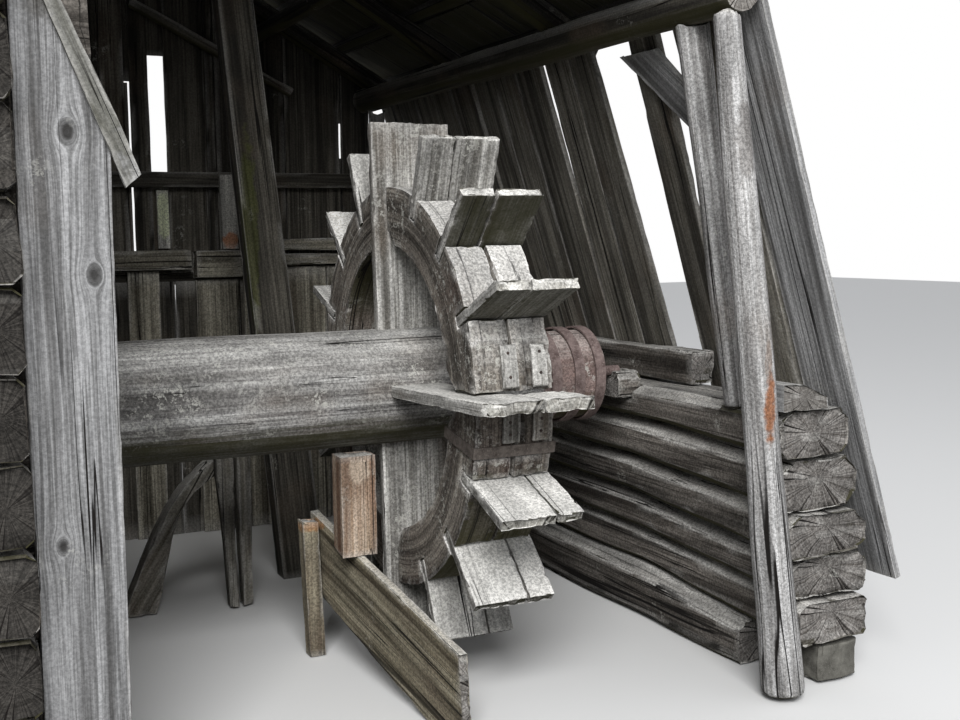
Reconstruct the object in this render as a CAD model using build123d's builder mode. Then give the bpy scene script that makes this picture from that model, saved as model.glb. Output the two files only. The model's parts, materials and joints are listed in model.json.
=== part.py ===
from build123d import *
import math
import os

# A log watermill's open wheel house: a paddle wheel on a thick log axle, carried by the mill's
# notched log wall on one side and by a low wall of hewn logs on the other, under a lean-to roof.
# Millimetres. +X runs out along the axle, away from the mill, +Y to the rear, +Z up.
# The origin is on the ground in the middle of the whole outline.

# Overall outline
HALF_LENGTH = 1720
HALF_DEPTH = 2150

# Seats and clearances
SEAT = 0.3
# How far a post's slanted line runs on below the ground before its foot is cut level
FOOT_CUT = 40
# Flats that the drawknife leaves round a tapering pole
POLE_FLATS = 16

# Wheel
HUB_Y = -700
HUB_Z = 1150
WHEEL_TURN = 2
TIP_R = 1073
RIM_OUT = 813
RIM_IN = 575
RIM_WIDTH = 317
RIM_CRACK = 5
ARM_THICK = 50
LEVEL_ARM_X0 = -88
LEVEL_ARM_WIDTH = 226
UPRIGHT_ARM_X0 = -51
UPRIGHT_ARM_WIDTH = 344
ARM_LAP_X = 45
ARM_WORN_R = 60
PADDLE_THICK = 44
PADDLE_ROOT_R = 722
PADDLES_PER_QUARTER = 3
PADDLE_OVERHANG = 14
SPLINT_THICK = 14
STRAP_WIDTH = 42
STRAP_THICK = 6
STRAP_ANGLE = -13

# Axle
AXLE_R = 240
AXLE_END_R = 200
AXLE_INNER_X = -1560
AXLE_INNER_TAPER = 180
AXLE_NECK_X = 455
AXLE_BARREL_X = 650
# How far along the neck, and how much thinner there, as shares of the neck
AXLE_NECK_STEPS = ((0.3, 0.14), (0.72, 0.84))
AXLE_OUTER_X = 930
HOOP_STARTS = (654, 766, 868)
HOOP_WIDTH = 46
HOOP_THICK = 8
PIN_R = 22
PIN_REACH = 175
INNER_PIN_REACH = 150
PIN_DEPTH = 180
PIN_RUNNING_GAP = 0.3

# Mill wall of notched logs
WALL_OUTER_X = -1500
WALL_THICK = 150
WALL_COURSES = 17
WALL_FRONT_Y = -1950
WALL_REAR_Y = 2050
LOG_EDGE = 26
AXLE_HOLE_R = 300
CORNER_LOG_THICK = 200
CORNER_LOG_REACH = 215
CORNER_INSET = 150

# Roof
ROOF_PITCH = 29.5
PLATE_X = 900
PLATE_Z = 2600
PLATE_R = 80
PLATE_FRONT_Y = -1830
RAFTER_R = 65
RAFTER_SINK = 48
RAFTER_YS = (-1600, -450, 700, 1800)
RAFTER_EAVE_X = 1130
BATTEN_THICK = 30
BATTEN_WIDTH = 60
BATTEN_COUNT = 9
BATTEN_EAVE_INSET = 70
COVER_THICK = 46
COVER_EAVE_X = 1270
PURLIN_R = 52
PURLIN_X = 230
PURLIN_NOTCH = 12
PURLIN_FRONT_Y = -2000

# Low outer wall of hewn logs that carries the axle's outer end
PIER_FRONT_Y = -1800
PIER_REAR_Y = 1880
PIER_MID_Y = HUB_Y
# Heights of the joints between the courses, from the ground up, at the front end and at the hub
PIER_FRONT_Z = (0, 165, 340, 512, 690, 905, 1095)
PIER_MID_Z = (0, 246, 410, 588, 757, 944, 1093)
# Front end, left side and right side of each log, and the wear of its four corners
PIER_LOGS = (
    (-1470, 1190, 1520, (20, 20, 30, 40)),
    (-1786, 1233, 1586, (24, 22, 26, 30)),
    (-1770, 1200, 1592, (30, 34, 40, 52)),
    (-1792, 1168, 1566, (26, 44, 60, 40)),
    (-1778, 1146, 1538, (34, 60, 66, 48)),
    (-1800, 1124, 1454, (28, 40, 44, 34)),
)
BLOCK_SEAT_Z = 1031
POST_SEAT_Z = 1062

# Bearing block of the outer pin
BLOCK_X0 = 1058
BLOCK_X1 = 1180
BLOCK_HALF = 78
BLOCK_TOP_HALF = 56
BLOCK_SHOULDER = 34

# Slab on the front end of the low wall, and the stone at its outer foot
SLAB_FRONT_Y = -1820
SLAB_LENGTH = 220
STONE_HEIGHT = 166
STONE_EDGE = 20

# Leaning boards of the outer wall
BOARD_LEAN = 17.7
BOARD_THICK = 30
BOARD_TOP_Z = 2662
BOARD_FOOT_Z = 1010
# Front edge and width of each leaning board at its top, then the same at its foot
OUTER_BOARDS = (
    (-1530, 268, -1506, 250),
    (-1150, 205, -1085, 190),
    (-640, 196, -685, 240),
    (-440, 205, -440, 255),
    (-178, 250, -178, 232),
    (77, 225, 59, 240),
    (307, 235, 304, 240),
    (580, 250, 575, 255),
    (835, 245, 835, 245),
    (1085, 250, 1085, 250),
    (1340, 245, 1340, 245),
    (1590, 280, 1590, 280),
)
SILL_X = 1290
SILL_TOP_Z = 1248
SILL_FOOT_Z = 1096
SILL_FRONT_Y = -1010

# Front posts and planks
ROUND_POST_Y = -1800
SPLIT_POST_Y = -1500
RAKE_FRONT_Y = -1812
RAKE_WIDTH = 276
ROUND_POST_FOOT_X = 1147
ROUND_POST_TOP_X = 846
ROUND_POST_FOOT_R = 90
ROUND_POST_TOP_R = 55
SPLIT_POST_FOOT_X = 1148
SPLIT_POST_TOP_X = 912
SPLIT_POST_FOOT_R = 56
SPLIT_POST_TOP_R = 66
POST_TOP_Z = 2540

# Mill corner boards
CORNER_BOARD_Y = -1845
CORNER_BOARD_THICK = 44.5
VERGE_BOARD_THICK = 24

# Rear wall of upright boards
REAR_Y = 1900
# Left edge, right edge and foot of each upper board
REAR_BOARDS = (
    (-1280, -1142, 1600),
    (-1136, -932, 1640),
    (-925, -699, 1600),
    (-694, -556, 1640),
    (-528, -421, 1600),
    (-330, -99, 1560),
    (-95, -44, 1600),
    (-40, 137, 1560),
    (141, 225, 1640),
    (229, 378, 1620),
    (382, 730, 1600),
    (742, 930, 1600),
)
# Left end, right end, foot and top of each squared timber
REAR_TIMBERS = (
    (-1284.7, -223, 1578, 1703),
    (-218, 76, 1522, 1696),
    (82, 900, 1588, 1672),
    (84, 890, 1674, 1760),
)
# Left edge, right edge and top of each lower board
REAR_LOWER_BOARDS = (
    (-1270, -1090, 1578),
    (-1040, -860, 1578),
    (-597, -413, 1578),
    (-207, 64, 1522),
    (84, 330, 1588),
    (336, 600, 1588),
    (606, 860, 1588),
)
REAR_BOARD_THICK = 28
REAR_LOWER_Y = 1842
RAIL_Z = 2058
RAIL_HEIGHT = 92
RAIL_THICK = 70
TIMBER_THICK = 118
# Loose slabs that stand on the squared timbers: left edge, right edge, top and foot, front face
REAR_SLABS = (
    (-408, -335, 2047, 1703, 1868),
    (-53, 51, 2137, 1696, 1799),
)
REAR_SLAB_THICK = 30
REAR_STRUT_START = (-520, 3100)
REAR_STRUT_END = (422, 2629)
REAR_STRUT_R = 34
REAR_POST_Y = 1690
REAR_POST_FOOT_X = 955
REAR_POST_TOP_X = 896
REAR_POST_FOOT_R = 78
REAR_POST_TOP_R = 62

# Posts and props inside
LEANING_POST_Y = 700
LEANING_POST_THICK = 120
HANGING_POST_Y = 255
HANGING_POST_THICK = 90
KNEE_BRACE_THICK = 130
PLANK_THICK = 40
PROP_X = -275
PROP_WIDTH = 148
PROP_FRONT_Y = -862
PROP_REAR_Y = -750
PROP_TOP_Z = 905
STAKE_Y = -545
STAKE_THICK = 70


def tan_d(angle):
    return math.tan(math.radians(angle))


def cos_d(angle):
    return math.cos(math.radians(angle))


def sin_d(angle):
    return math.sin(math.radians(angle))


# The rafters' axes lie this far above the plate pole's axis, square to the slope
RAFTER_OFFSET = PLATE_R + RAFTER_R - RAFTER_SINK


def rafter_axis_z(x):
    """Height of the rafters' axes over a given x."""
    return PLATE_Z + RAFTER_OFFSET / cos_d(ROOF_PITCH) + (PLATE_X - x) * tan_d(ROOF_PITCH)


def rafter_under_z(x):
    """Height of the rafters' lowest line over a given x."""
    return rafter_axis_z(x) - RAFTER_R / cos_d(ROOF_PITCH)


def rafter_top_z(x):
    """Height of the plane that the battens lie on over a given x."""
    return rafter_axis_z(x) + RAFTER_R / cos_d(ROOF_PITCH)


WALL_TOP_Z = rafter_under_z(WALL_OUTER_X) + 12
WALL_COURSE = WALL_TOP_Z / WALL_COURSES
WALL_INNER_X = WALL_OUTER_X - WALL_THICK


def round_pole(start, end, start_r, end_r, mode=Mode.ADD):
    """A round pole, or one hewn to many flats where it tapers."""
    run = Vector(*end) - Vector(*start)
    if start_r == end_r:
        with Locations(Plane(origin=start, z_dir=run)):
            Cylinder(
                start_r,
                run.length,
                align=(Align.CENTER, Align.CENTER, Align.MIN),
                mode=mode,
            )
        return
    with BuildSketch(Plane(origin=start, x_dir=(0, 1, 0), z_dir=run)) as first:
        RegularPolygon(start_r, POLE_FLATS)
    with BuildSketch(Plane(origin=end, x_dir=(0, 1, 0), z_dir=run)) as last:
        RegularPolygon(end_r, POLE_FLATS)
    loft([first.sketch, last.sketch], ruled=True, mode=mode)


def standing_pole(foot, top, foot_r, top_r):
    """A slanting pole whose foot is cut level with the ground."""
    run = Vector(*top) - Vector(*foot)
    below = Vector(*foot) - run * (FOOT_CUT / run.Z)
    round_pole(tuple(below), top, foot_r, top_r)
    reach = 4 * foot_r
    block(
        foot[0] - reach,
        foot[0] + reach,
        foot[1] - reach,
        foot[1] + reach,
        -reach,
        0,
        mode=Mode.SUBTRACT,
    )


def board_between(start, end, across, widths, thick, mode=Mode.ADD):
    """A board from one end to the other, as wide as widths say at its two ends."""
    run = Vector(*end) - Vector(*start)
    with BuildSketch(Plane(origin=start, x_dir=across, z_dir=run)) as first:
        Rectangle(widths[0], thick)
    with BuildSketch(Plane(origin=end, x_dir=across, z_dir=run)) as last:
        Rectangle(widths[1], thick)
    loft([first.sketch, last.sketch], mode=mode)


def sawn(plane, points, amount, mode=Mode.ADD):
    """A board or block cut to the outline through the points."""
    with BuildSketch(plane) as outline:
        with BuildLine():
            Polyline(*points, close=True)
        make_face()
    extrude(outline.sketch, amount=amount, mode=mode)


def block(x0, x1, y0, y1, z0, z1, mode=Mode.ADD):
    """A plain squared block between the given limits."""
    with Locations(((x0 + x1) / 2, (y0 + y1) / 2, (z0 + z1) / 2)):
        Box(x1 - x0, y1 - y0, z1 - z0, mode=mode)


def hewn_outline(y, x0, x1, z0, z1, corners):
    """The hewn end outline of a log that runs to the rear, its corners worn off."""
    low_left, low_right, top_right, top_left = corners
    with BuildSketch(Plane.XZ.offset(-y)) as outline:
        with BuildLine():
            Polyline(
                (x0 + low_left, z0),
                (x1 - low_right, z0),
                (x1, z0 + low_right),
                (x1, z1 - top_right),
                (x1 - top_right, z1),
                (x0 + 1.6 * top_left, z1),
                (x0, z1 - top_left),
                (x0, z0 + low_left),
                close=True,
            )
        make_face()
    return outline.sketch


def log_section(plane, across, up, width, height):
    """The end outline of a hewn log, its arrises taken off."""
    with BuildSketch(plane) as outline:
        with Locations((across, up)):
            Rectangle(width, height)
        chamfer(outline.vertices(), LOG_EDGE)
    return outline.sketch


def plate_pole_cut():
    """Cuts the seat of the plate pole out of what meets it."""
    round_pole(
        (PLATE_X, -HALF_DEPTH, PLATE_Z),
        (PLATE_X, HALF_DEPTH, PLATE_Z),
        PLATE_R + SEAT,
        PLATE_R + SEAT,
        mode=Mode.SUBTRACT,
    )


def rafter_pole(y, radius, mode=Mode.ADD):
    """A rafter pole, or with a wider radius the seat cut for it."""
    round_pole(
        (-HALF_LENGTH - 200, y, rafter_axis_z(-HALF_LENGTH - 200)),
        (RAFTER_EAVE_X, y, rafter_axis_z(RAFTER_EAVE_X)),
        radius,
        radius,
        mode=mode,
    )


def rafter_cuts():
    """Cuts the seats of all rafters out of what meets them."""
    for y in RAFTER_YS:
        rafter_pole(y, RAFTER_R + SEAT, mode=Mode.SUBTRACT)


# Mill wall, in two nodes so that each log is a solid of its own

def mill_wall_course(k):
    """One log of the mill wall, notched for the cross logs at both corners."""
    z0 = k * WALL_COURSE
    z1 = z0 + WALL_COURSE
    middle_x = WALL_INNER_X + WALL_THICK / 2
    end = Plane.XZ.offset(-WALL_FRONT_Y)
    outline = log_section(end, middle_x, (z0 + z1) / 2, WALL_THICK, WALL_COURSE)
    extrude(outline, amount=-(WALL_REAR_Y - WALL_FRONT_Y))


def cross_log_y(rear):
    """Middle of the cross logs at the front or the rear corner."""
    inset = CORNER_INSET + CORNER_LOG_THICK / 2
    return WALL_REAR_Y - inset if rear else WALL_FRONT_Y + inset


def mill_wall_notches(k):
    """Notches a quarter of a course deep, above and below, for the cross logs."""
    for rear in (False, True):
        for joint in range(max(k, 1), min(k + 2, WALL_COURSES)):
            z = joint * WALL_COURSE
            y = cross_log_y(rear)
            half = CORNER_LOG_THICK / 2 + SEAT
            deep = WALL_COURSE / 4 + SEAT
            block(
                WALL_INNER_X - 1,
                WALL_OUTER_X + 1,
                y - half,
                y + half,
                z - deep,
                z + deep,
                mode=Mode.SUBTRACT,
            )


def axle_hole_cut():
    with Locations(Plane.YZ.offset(WALL_INNER_X - 1)):
        with Locations((HUB_Y, HUB_Z)):
            Cylinder(
                AXLE_HOLE_R,
                WALL_THICK + 2,
                align=(Align.CENTER, Align.CENTER, Align.MIN),
                mode=Mode.SUBTRACT,
            )


with BuildPart() as mill_wall_odd_logs:
    for course in range(0, WALL_COURSES, 2):
        mill_wall_course(course)
    for course in range(0, WALL_COURSES, 2):
        mill_wall_notches(course)
    axle_hole_cut()
mill_wall_odd_logs.part.label = "mill_wall_odd_logs"

with BuildPart() as mill_wall_even_logs:
    for course in range(1, WALL_COURSES, 2):
        mill_wall_course(course)
    for course in range(1, WALL_COURSES, 2):
        mill_wall_notches(course)
    axle_hole_cut()
mill_wall_even_logs.part.label = "mill_wall_even_logs"


def corner_log(k, rear):
    """One short log of the mill's cross wall, half a course above the wall's own log."""
    z0 = (k + 0.5) * WALL_COURSE
    z1 = z0 + WALL_COURSE
    x0 = -HALF_LENGTH
    x1 = WALL_OUTER_X + CORNER_LOG_REACH
    end = Plane.YZ.offset(x0)
    outline = log_section(end, cross_log_y(rear), (z0 + z1) / 2, CORNER_LOG_THICK, WALL_COURSE)
    extrude(outline, amount=x1 - x0)
    for z in (z0, z1):
        with Locations((WALL_OUTER_X - WALL_THICK / 2, cross_log_y(rear), z)):
            Box(WALL_THICK + 2 * SEAT, CORNER_LOG_THICK + 2, WALL_COURSE / 2, mode=Mode.SUBTRACT)


with BuildPart() as corner_even_logs:
    for side in (False, True):
        for course in range(0, WALL_COURSES - 1, 2):
            corner_log(course, side)
corner_even_logs.part.label = "corner_even_logs"

with BuildPart() as corner_odd_logs:
    for side in (False, True):
        for course in range(1, WALL_COURSES - 1, 2):
            corner_log(course, side)
    rafter_cuts()
corner_odd_logs.part.label = "corner_odd_logs"

# Axle, with through mortises for both arms and a socket for each iron pin
with BuildPart() as axle_log:
    neck = [
        (
            AXLE_NECK_X + along * (AXLE_BARREL_X - AXLE_NECK_X),
            HUB_Z + AXLE_R - thinner * (AXLE_R - AXLE_END_R),
        )
        for along, thinner in AXLE_NECK_STEPS
    ]
    with BuildSketch(Plane.XZ.offset(-HUB_Y)):
        with BuildLine():
            Polyline(
                (AXLE_INNER_X, HUB_Z),
                (AXLE_INNER_X, HUB_Z + AXLE_END_R),
                (AXLE_INNER_X + AXLE_INNER_TAPER, HUB_Z + AXLE_R),
                (AXLE_NECK_X, HUB_Z + AXLE_R),
                *neck,
                (AXLE_BARREL_X, HUB_Z + AXLE_END_R),
                (AXLE_OUTER_X, HUB_Z + AXLE_END_R),
                (AXLE_OUTER_X, HUB_Z),
                close=True,
            )
        make_face()
    revolve(axis=Axis((0, HUB_Y, HUB_Z), (1, 0, 0)))
    for x0, width, turn in (
        (LEVEL_ARM_X0, LEVEL_ARM_WIDTH, WHEEL_TURN),
        (UPRIGHT_ARM_X0, UPRIGHT_ARM_WIDTH, WHEEL_TURN + 90),
    ):
        with Locations(Location((x0 + width / 2, HUB_Y, HUB_Z), (-turn, 0, 0))):
            Box(width + 2 * SEAT, 2 * AXLE_R + 10, ARM_THICK + 2 * SEAT, mode=Mode.SUBTRACT)
    for x in (AXLE_INNER_X + PIN_DEPTH / 2, AXLE_OUTER_X - PIN_DEPTH / 2):
        with Locations(Location((x, HUB_Y, HUB_Z), (0, 90, 0))):
            Cylinder(PIN_R + SEAT, PIN_DEPTH, mode=Mode.SUBTRACT)
axle_log.part.label = "axle_log"

with BuildPart() as axle_hoops:
    for x in HOOP_STARTS:
        with BuildSketch(Plane.YZ.offset(x)):
            with Locations((HUB_Y, HUB_Z)):
                Circle(AXLE_END_R + HOOP_THICK)
                Circle(AXLE_END_R + SEAT, mode=Mode.SUBTRACT)
        extrude(amount=HOOP_WIDTH)
axle_hoops.part.label = "axle_hoops"

with BuildPart() as outer_pin:
    with BuildSketch(Plane.YZ.offset(AXLE_OUTER_X - PIN_DEPTH + 1)):
        with Locations((HUB_Y, HUB_Z)):
            Circle(PIN_R)
    extrude(amount=PIN_DEPTH - 1 + PIN_REACH)
    chamfer(outer_pin.faces().sort_by(Axis.X)[-1].edges(), 3)
outer_pin.part.label = "outer_pin"

with BuildPart() as inner_pin:
    with BuildSketch(Plane.YZ.offset(AXLE_INNER_X - INNER_PIN_REACH)):
        with Locations((HUB_Y, HUB_Z)):
            Circle(PIN_R)
    extrude(amount=PIN_DEPTH - 1 + INNER_PIN_REACH)
    chamfer(inner_pin.faces().sort_by(Axis.X)[0].edges(), 3)
inner_pin.part.label = "inner_pin"


def arm_at(x0, width, turn):
    """A plank arm right through the axle, turned about the axle's line."""
    with Locations(Location((x0 + width / 2, HUB_Y, HUB_Z), (-turn, 0, 0))):
        Box(width, 2 * TIP_R, ARM_THICK)


def arm_lap_cut(x0, x1, turn):
    """The half lap where the two arms cross inside the axle."""
    with Locations(Location(((x0 + x1) / 2, HUB_Y, HUB_Z), (-turn, 0, 0))):
        Box(x1 - x0, ARM_THICK + 2 * SEAT, ARM_THICK + 2, mode=Mode.SUBTRACT)


with BuildPart() as level_arm:
    arm_at(LEVEL_ARM_X0, LEVEL_ARM_WIDTH, WHEEL_TURN)
    # The front end's corner towards the mill is worn round
    thin_edges = level_arm.edges().filter_by(lambda edge: abs(edge.length - ARM_THICK) < 1)
    front_edges = thin_edges.filter_by(lambda edge: edge.center().Y < HUB_Y)
    fillet(front_edges.sort_by(Axis.X)[0], ARM_WORN_R)
    arm_lap_cut(ARM_LAP_X, LEVEL_ARM_X0 + LEVEL_ARM_WIDTH + 1, WHEEL_TURN)
level_arm.part.label = "level_arm"

with BuildPart() as upright_arm:
    arm_at(UPRIGHT_ARM_X0, UPRIGHT_ARM_WIDTH, WHEEL_TURN + 90)
    arm_lap_cut(UPRIGHT_ARM_X0 - 1, ARM_LAP_X, WHEEL_TURN + 90)
upright_arm.part.label = "upright_arm"


def wheel_plane(angle):
    """Plane at the hub whose x runs out along a spoke at the angle, y round the wheel."""
    out = (0, -cos_d(angle + WHEEL_TURN), sin_d(angle + WHEEL_TURN))
    return Plane(origin=(0, HUB_Y, HUB_Z), x_dir=out, z_dir=(-1, 0, 0))


def paddle_box(angle, r0, r1, x0, x1, thick, mode=Mode.ADD):
    """A radial board of the wheel."""
    with Locations(wheel_plane(angle)):
        with Locations(((r0 + r1) / 2, 0, -(x0 + x1) / 2)):
            Box(r1 - r0, thick, x1 - x0, mode=mode)


def felloe(start_angle):
    """A quarter of the rim, hewn to its curve, in two boards side by side."""
    r0 = RIM_IN
    r1 = RIM_OUT
    half = (RIM_WIDTH - RIM_CRACK) / 2
    face = ARM_THICK / 2 + SEAT
    for x0 in (0, half + RIM_CRACK):
        with BuildSketch(wheel_plane(start_angle).offset(-x0)) as outline:
            Circle(r1)
            Circle(r0, mode=Mode.SUBTRACT)
            with Locations((face, face)):
                Rectangle(2 * r1, 2 * r1, align=(Align.MIN, Align.MIN), mode=Mode.INTERSECT)
            # The inner corner at each end is hewn off
            for x, y in ((face, r0), (r0, face)):
                with Locations(Location((x, y), -45)):
                    Rectangle(130, 90, mode=Mode.SUBTRACT)
        extrude(outline.sketch, amount=-half)
    for k in range(PADDLES_PER_QUARTER):
        turn = start_angle + (k + 1) * 90 / (PADDLES_PER_QUARTER + 1)
        paddle_box(
            turn,
            PADDLE_ROOT_R - SEAT,
            r1 + 40,
            -1,
            RIM_WIDTH + 1,
            PADDLE_THICK + 2 * SEAT,
            mode=Mode.SUBTRACT,
        )


with BuildPart() as felloe_upper_front:
    felloe(0)
felloe_upper_front.part.label = "felloe_upper_front"

with BuildPart() as felloe_upper_rear:
    felloe(90)
felloe_upper_rear.part.label = "felloe_upper_rear"

with BuildPart() as felloe_lower_rear:
    felloe(180)
felloe_lower_rear.part.label = "felloe_lower_rear"

with BuildPart() as felloe_lower_front:
    felloe(270)
felloe_lower_front.part.label = "felloe_lower_front"


def quarter_paddles(start_angle, tips):
    """The paddles between two arms, each worn to its own length."""
    for k, tip in enumerate(tips):
        turn = start_angle + (k + 1) * 90 / (PADDLES_PER_QUARTER + 1)
        paddle_box(turn, PADDLE_ROOT_R, tip, 0, RIM_WIDTH + PADDLE_OVERHANG, PADDLE_THICK)


with BuildPart() as paddles_upper_front:
    quarter_paddles(0, (TIP_R, TIP_R - 22, TIP_R - 18))
paddles_upper_front.part.label = "paddles_upper_front"

with BuildPart() as paddles_upper_rear:
    quarter_paddles(90, (TIP_R - 12, TIP_R - 20, TIP_R - 30))
paddles_upper_rear.part.label = "paddles_upper_rear"

with BuildPart() as paddles_lower_rear:
    quarter_paddles(180, (TIP_R - 25, TIP_R - 8, TIP_R - 16))
paddles_lower_rear.part.label = "paddles_lower_rear"

with BuildPart() as paddles_lower_front:
    quarter_paddles(270, (TIP_R - 20, TIP_R - 6, TIP_R))
paddles_lower_front.part.label = "paddles_lower_front"

with BuildPart() as arm_end_boards:
    level_end = LEVEL_ARM_X0 + LEVEL_ARM_WIDTH
    for angle in (0, 180):
        r0 = RIM_OUT + 30 + SEAT
        paddle_box(angle, r0, TIP_R, level_end + SEAT, RIM_WIDTH + 18, ARM_THICK)
arm_end_boards.part.label = "arm_end_boards"

with BuildPart() as rim_splints:
    for x0, x1 in ((104, 172), (226, 290)):
        for low, high in ((2.6, 14), (-11, -2.6)):
            r0 = RIM_OUT + SEAT
            with BuildSketch(wheel_plane(0).offset(-x0)):
                with BuildLine():
                    r1 = r0 + SPLINT_THICK
                    mean = (low + high) / 2
                    a = (r0 * cos_d(low), r0 * sin_d(low))
                    b = (r0 * cos_d(high), r0 * sin_d(high))
                    c = (r1 * cos_d(high), r1 * sin_d(high))
                    d = (r1 * cos_d(low), r1 * sin_d(low))
                    ThreePointArc(a, (r0 * cos_d(mean), r0 * sin_d(mean)), b)
                    Line(b, c)
                    ThreePointArc(c, (r1 * cos_d(mean), r1 * sin_d(mean)), d)
                    Line(d, a)
                make_face()
            extrude(amount=-(x1 - x0))
rim_splints.part.label = "rim_splints"

with BuildPart() as rim_strap:
    strap_out = RIM_OUT + 2
    strap_in = RIM_IN - 2
    paddle_box(
        STRAP_ANGLE,
        strap_in - STRAP_THICK,
        strap_out + STRAP_THICK,
        -SEAT - STRAP_THICK,
        RIM_WIDTH + SEAT + STRAP_THICK,
        STRAP_WIDTH,
    )
    paddle_box(
        STRAP_ANGLE,
        strap_in,
        strap_out,
        -SEAT,
        RIM_WIDTH + SEAT,
        STRAP_WIDTH + 2,
        mode=Mode.SUBTRACT,
    )
rim_strap.part.label = "rim_strap"


# Low outer wall of hewn logs, in two nodes so that each log is a solid of its own

def pier_log(k):
    """One hewn log, following the fall of the courses from the front to the hub."""
    front_y, x0, x1, corners = PIER_LOGS[k]
    along = (front_y - PIER_FRONT_Y) / (PIER_MID_Y - PIER_FRONT_Y)
    low = PIER_FRONT_Z[k] + along * (PIER_MID_Z[k] - PIER_FRONT_Z[k]) + SEAT
    top = PIER_FRONT_Z[k + 1] + along * (PIER_MID_Z[k + 1] - PIER_FRONT_Z[k + 1])
    mid_low = PIER_MID_Z[k] + SEAT
    mid_top = PIER_MID_Z[k + 1]
    if k == 0:
        low = 0
        mid_low = 0
    front = hewn_outline(front_y, x0, x1, low, top, corners)
    middle = hewn_outline(PIER_MID_Y, x0 - 6, x1 - 4, mid_low, mid_top, corners)
    rear = hewn_outline(PIER_REAR_Y, x0 + 8, x1 - 10, mid_low, mid_top, corners)
    loft([front, middle, rear], ruled=True)


with BuildPart() as pier_odd_logs:
    for course in (0, 2, 4):
        pier_log(course)
pier_odd_logs.part.label = "pier_odd_logs"

with BuildPart() as pier_even_logs:
    for course in (1, 3, 5):
        pier_log(course)
    # Seats of the bearing block and of the split post in the top log
    block(
        BLOCK_X0 - 1,
        BLOCK_X1 + SEAT,
        HUB_Y - BLOCK_HALF - SEAT,
        HUB_Y + BLOCK_HALF + SEAT,
        BLOCK_SEAT_Z,
        HUB_Z,
        mode=Mode.SUBTRACT,
    )
    block(
        1000,
        1215,
        SPLIT_POST_Y - 75,
        SPLIT_POST_Y + 75,
        POST_SEAT_Z,
        HUB_Z,
        mode=Mode.SUBTRACT,
    )
pier_even_logs.part.label = "pier_even_logs"

with BuildPart() as bearing_block:
    sawn(
        Plane.YZ.offset(BLOCK_X0),
        (
            (HUB_Y - BLOCK_HALF, BLOCK_SEAT_Z + SEAT),
            (HUB_Y + BLOCK_HALF, BLOCK_SEAT_Z + SEAT),
            (HUB_Y + BLOCK_HALF, HUB_Z - BLOCK_SHOULDER),
            (HUB_Y + BLOCK_TOP_HALF, HUB_Z),
            (HUB_Y - BLOCK_TOP_HALF, HUB_Z),
            (HUB_Y - BLOCK_HALF, HUB_Z - BLOCK_SHOULDER),
        ),
        BLOCK_X1 - BLOCK_X0,
    )
    with Locations(Location((BLOCK_X0, HUB_Y, HUB_Z), (0, 90, 0))):
        Cylinder(PIN_R + PIN_RUNNING_GAP, 160, mode=Mode.SUBTRACT)
bearing_block.part.label = "bearing_block"

with BuildPart() as inner_bearing_post:
    block(-HALF_LENGTH, WALL_INNER_X - 5, HUB_Y - 130, HUB_Y + 130, 0, HUB_Z)
    with Locations(Location((WALL_INNER_X, HUB_Y, HUB_Z), (0, 90, 0))):
        Cylinder(PIN_R + PIN_RUNNING_GAP, 400, mode=Mode.SUBTRACT)
inner_bearing_post.part.label = "inner_bearing_post"

with BuildPart() as pier_top_slab:
    slab_z = PIER_FRONT_Z[-1] + SEAT
    sawn(
        Plane.XZ.offset(-SLAB_FRONT_Y),
        (
            (1112, slab_z),
            (1330, slab_z),
            (1322, slab_z + 48),
            (1204, slab_z + 101),
            (1112, slab_z + 105),
        ),
        -SLAB_LENGTH,
    )
pier_top_slab.part.label = "pier_top_slab"

with BuildPart() as base_stone:
    sawn(
        Plane.XY,
        ((1330, -1782), (1450, -1794), (1566, -1770), (1572, -1560), (1460, -1500), (1340, -1520)),
        STONE_HEIGHT,
    )
    chamfer(base_stone.edges().filter_by(Axis.Z), STONE_EDGE)
base_stone.part.label = "base_stone"

# Roof
with BuildPart() as plate_pole:
    round_pole((PLATE_X, PLATE_FRONT_Y, PLATE_Z), (PLATE_X, REAR_Y, PLATE_Z), PLATE_R, PLATE_R)
    rafter_cuts()
plate_pole.part.label = "plate_pole"

with BuildPart() as rafter_poles:
    for y in RAFTER_YS:
        rafter_pole(y, RAFTER_R)
    block(-4000, -HALF_LENGTH, -HALF_DEPTH, HALF_DEPTH, 0, 6000, mode=Mode.SUBTRACT)
    block(
        WALL_INNER_X,
        WALL_OUTER_X,
        WALL_FRONT_Y,
        WALL_REAR_Y,
        0,
        WALL_TOP_Z + SEAT,
        mode=Mode.SUBTRACT,
    )
rafter_poles.part.label = "rafter_poles"

with BuildPart() as roof_purlin:
    purlin_drop = (RAFTER_R + PURLIN_R - PURLIN_NOTCH) / cos_d(ROOF_PITCH)
    purlin_z = rafter_axis_z(PURLIN_X) - purlin_drop
    front = (PURLIN_X, PURLIN_FRONT_Y, purlin_z)
    round_pole(front, (PURLIN_X, REAR_Y, purlin_z), PURLIN_R, PURLIN_R)
    rafter_cuts()
roof_purlin.part.label = "roof_purlin"


def roof_sheet(x0, x1, low, high):
    """A sheet that follows the roof's slope, low and high over the rafters' backs."""
    sawn(
        Plane.XZ.offset(HALF_DEPTH),
        (
            (x0, rafter_top_z(x0) + low / cos_d(ROOF_PITCH)),
            (x1, rafter_top_z(x1) + low / cos_d(ROOF_PITCH)),
            (x1, rafter_top_z(x1) + high / cos_d(ROOF_PITCH)),
            (x0, rafter_top_z(x0) + high / cos_d(ROOF_PITCH)),
        ),
        -2 * HALF_DEPTH,
    )


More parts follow.
